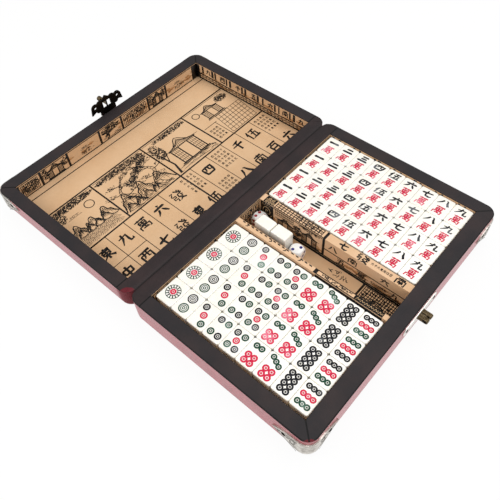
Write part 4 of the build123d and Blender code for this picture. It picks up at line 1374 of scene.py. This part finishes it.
nails = {
    "radius": 1.55, "high": 0.46, "cut": 0.01, "inset": 20.0,
    "guardUp": 13.4,  # above the half's foot
    # half the distance between the two nails of the latch's plate, and their height
    "plate": {"base": (17.5, 17.9), "lid": (9.5, 14.6)},
}


def nailSpots(half):
    way, frontX, sideY = halves[half]["frontWay"], alongX(half, caseSize["halfX"]), caseSize["halfY"]
    guardZ, (plateReach, plateZ) = halves[half]["foot"] + nails["guardUp"], nails["plate"][half]
    outX, outY, inset = frontX + way * proud, sideY + proud, nails["inset"]
    return ([((outX, s * (sideY - inset), guardZ), (way, 0, 0)) for s in (-1, 1)]
            + [((frontX - way * inset, s * outY, guardZ), (0, s, 0)) for s in (-1, 1)]
            + [((outX, caseSize["latchY"] + s * plateReach, plateZ), (way, 0, 0)) for s in (-1, 1)])


def nailDomes(half):
    # flattened spheres, cut off just above their middle, in place of the half's plain nails
    domes = []
    for point, outward in nailSpots(half):
        deselectAll()
        bpy.ops.mesh.primitive_uv_sphere_add(segments=20, ring_count=12, radius=nails["radius"] * mm)
        dome = bpy.context.object
        dome.data.transform(Matrix.Scale(nails["high"] / nails["radius"], 4, (0, 0, 1)))
        bpy.ops.object.mode_set(mode="EDIT")
        bpy.ops.mesh.select_all(action="SELECT")
        bpy.ops.mesh.bisect(plane_co=(0, 0, nails["cut"] * mm), plane_no=(0, 0, 1), clear_inner=True,
                            use_fill=True)
        bpy.ops.object.mode_set(mode="OBJECT")
        turn = Vector((0, 0, 1)).rotation_difference(Vector(outward)).to_matrix().to_4x4()
        dome.data.transform(Matrix.Translation(Vector(point) * mm) @ turn)
        domes.append(dome)
    pick(domes[0])
    for dome in domes:
        dome.select_set(True)
    bpy.ops.object.join()
    piece = bpy.context.object
    piece.name = f"{half}NailDomes"
    finishLook(piece, nailDark, 50)
    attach(piece, half)
    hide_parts(f"{half}_nails")


nailDomes("base")
nailDomes("lid")
print("metalwork made")


# Studio: pale floor, soft light, the photograph's camera

def lightPath(tree, *rays):
    # 1 where any of these rays looks, 0 elsewhere
    path = tree.nodes.new("ShaderNodeLightPath")
    seen = Wire(tree, path.outputs[rays[0]])
    for ray in rays[1:]:
        seen = seen.most(Wire(tree, path.outputs[ray]))
    return seen


def studioFloor():
    look = {"size": 6.0, "below": 0.2, "white": 0.93, "matt": "f4f3f1"}
    bpy.ops.mesh.primitive_plane_add(size=look["size"], location=(0, 0, -look["below"] * mm))
    floor = bpy.context.object
    floor.name = "studioFloor"
    material = bpy.data.materials.new("studioFloor")
    material.use_nodes = True
    tree = material.node_tree
    tree.nodes.clear()
    seen = lightPath(tree, "Is Camera Ray", "Is Glossy Ray", "Is Transmission Ray") * look["white"]
    matt = seen.make("ShaderNodeBsdfDiffuse", {}, {"Color": srgb(look["matt"])})
    glow = seen.make("ShaderNodeEmission", {}, {"Color": (1, 1, 1, 1), "Strength": 1.0})
    mixed = seen.make("ShaderNodeMixShader", {}, {0: seen, 1: matt, 2: glow})
    out = tree.nodes.new("ShaderNodeOutputMaterial")
    tree.links.new(mixed.socket, out.inputs["Surface"])
    floor.data.materials.append(material)


def studioSky():
    # white to the camera, and a plain soft light on the object
    light = 0.55
    world = bpy.data.worlds.new("studioSky")
    bpy.context.scene.world = world
    world.use_nodes = True
    tree = world.node_tree
    background = tree.nodes["Background"]
    plug(tree, background.inputs["Strength"], lightPath(tree, "Is Camera Ray") * (1.0 - light) + light)
    background.inputs["Color"].default_value = (1.0, 1.0, 1.0, 1.0)


def studioLamps():
    lamps = {
        "topSoft": {"place": (0.1, 0.35, 1.1), "aim": (-0.05, 0, 0), "size": 0.9, "power": 7.0},
        "leftSoft": {"place": (-0.7, -0.7, 0.7), "aim": (-0.1, 0, 0), "size": 0.7, "power": 4.0},
        "rightSoft": {"place": (0.8, -0.5, 0.5), "aim": (0.05, 0, 0), "size": 0.6, "power": 3.0},
    }
    for name, lamp in lamps.items():
        bpy.ops.object.light_add(type="AREA", location=lamp["place"])
        light = bpy.context.object
        light.name = name
        light.data.size = lamp["size"]
        light.data.energy = lamp["power"]
        aim = Vector(lamp["aim"]) - Vector(lamp["place"])
        light.rotation_euler = aim.to_track_quat("-Z", "Y").to_euler()


def photoCamera():
    view = {"place": (0.132445, -0.207391, 0.364032), "turn": (0.6298400, 0.0372701, 0.7148561),
            "lens": 40.744, "shiftX": -0.0083, "shiftY": -0.0020}
    bpy.ops.object.camera_add(location=view["place"], rotation=view["turn"])
    camera = bpy.context.object
    camera.name = "photoCamera"
    camera.data.sensor_width = 36.0
    camera.data.lens = view["lens"]
    camera.data.shift_x = view["shiftX"]
    camera.data.shift_y = view["shiftY"]
    camera.data.clip_start = 0.01
    bpy.context.scene.camera = camera


studioFloor()
studioSky()
studioLamps()
photoCamera()
bpy.context.scene.view_settings.view_transform = "Standard"
print("studio set")
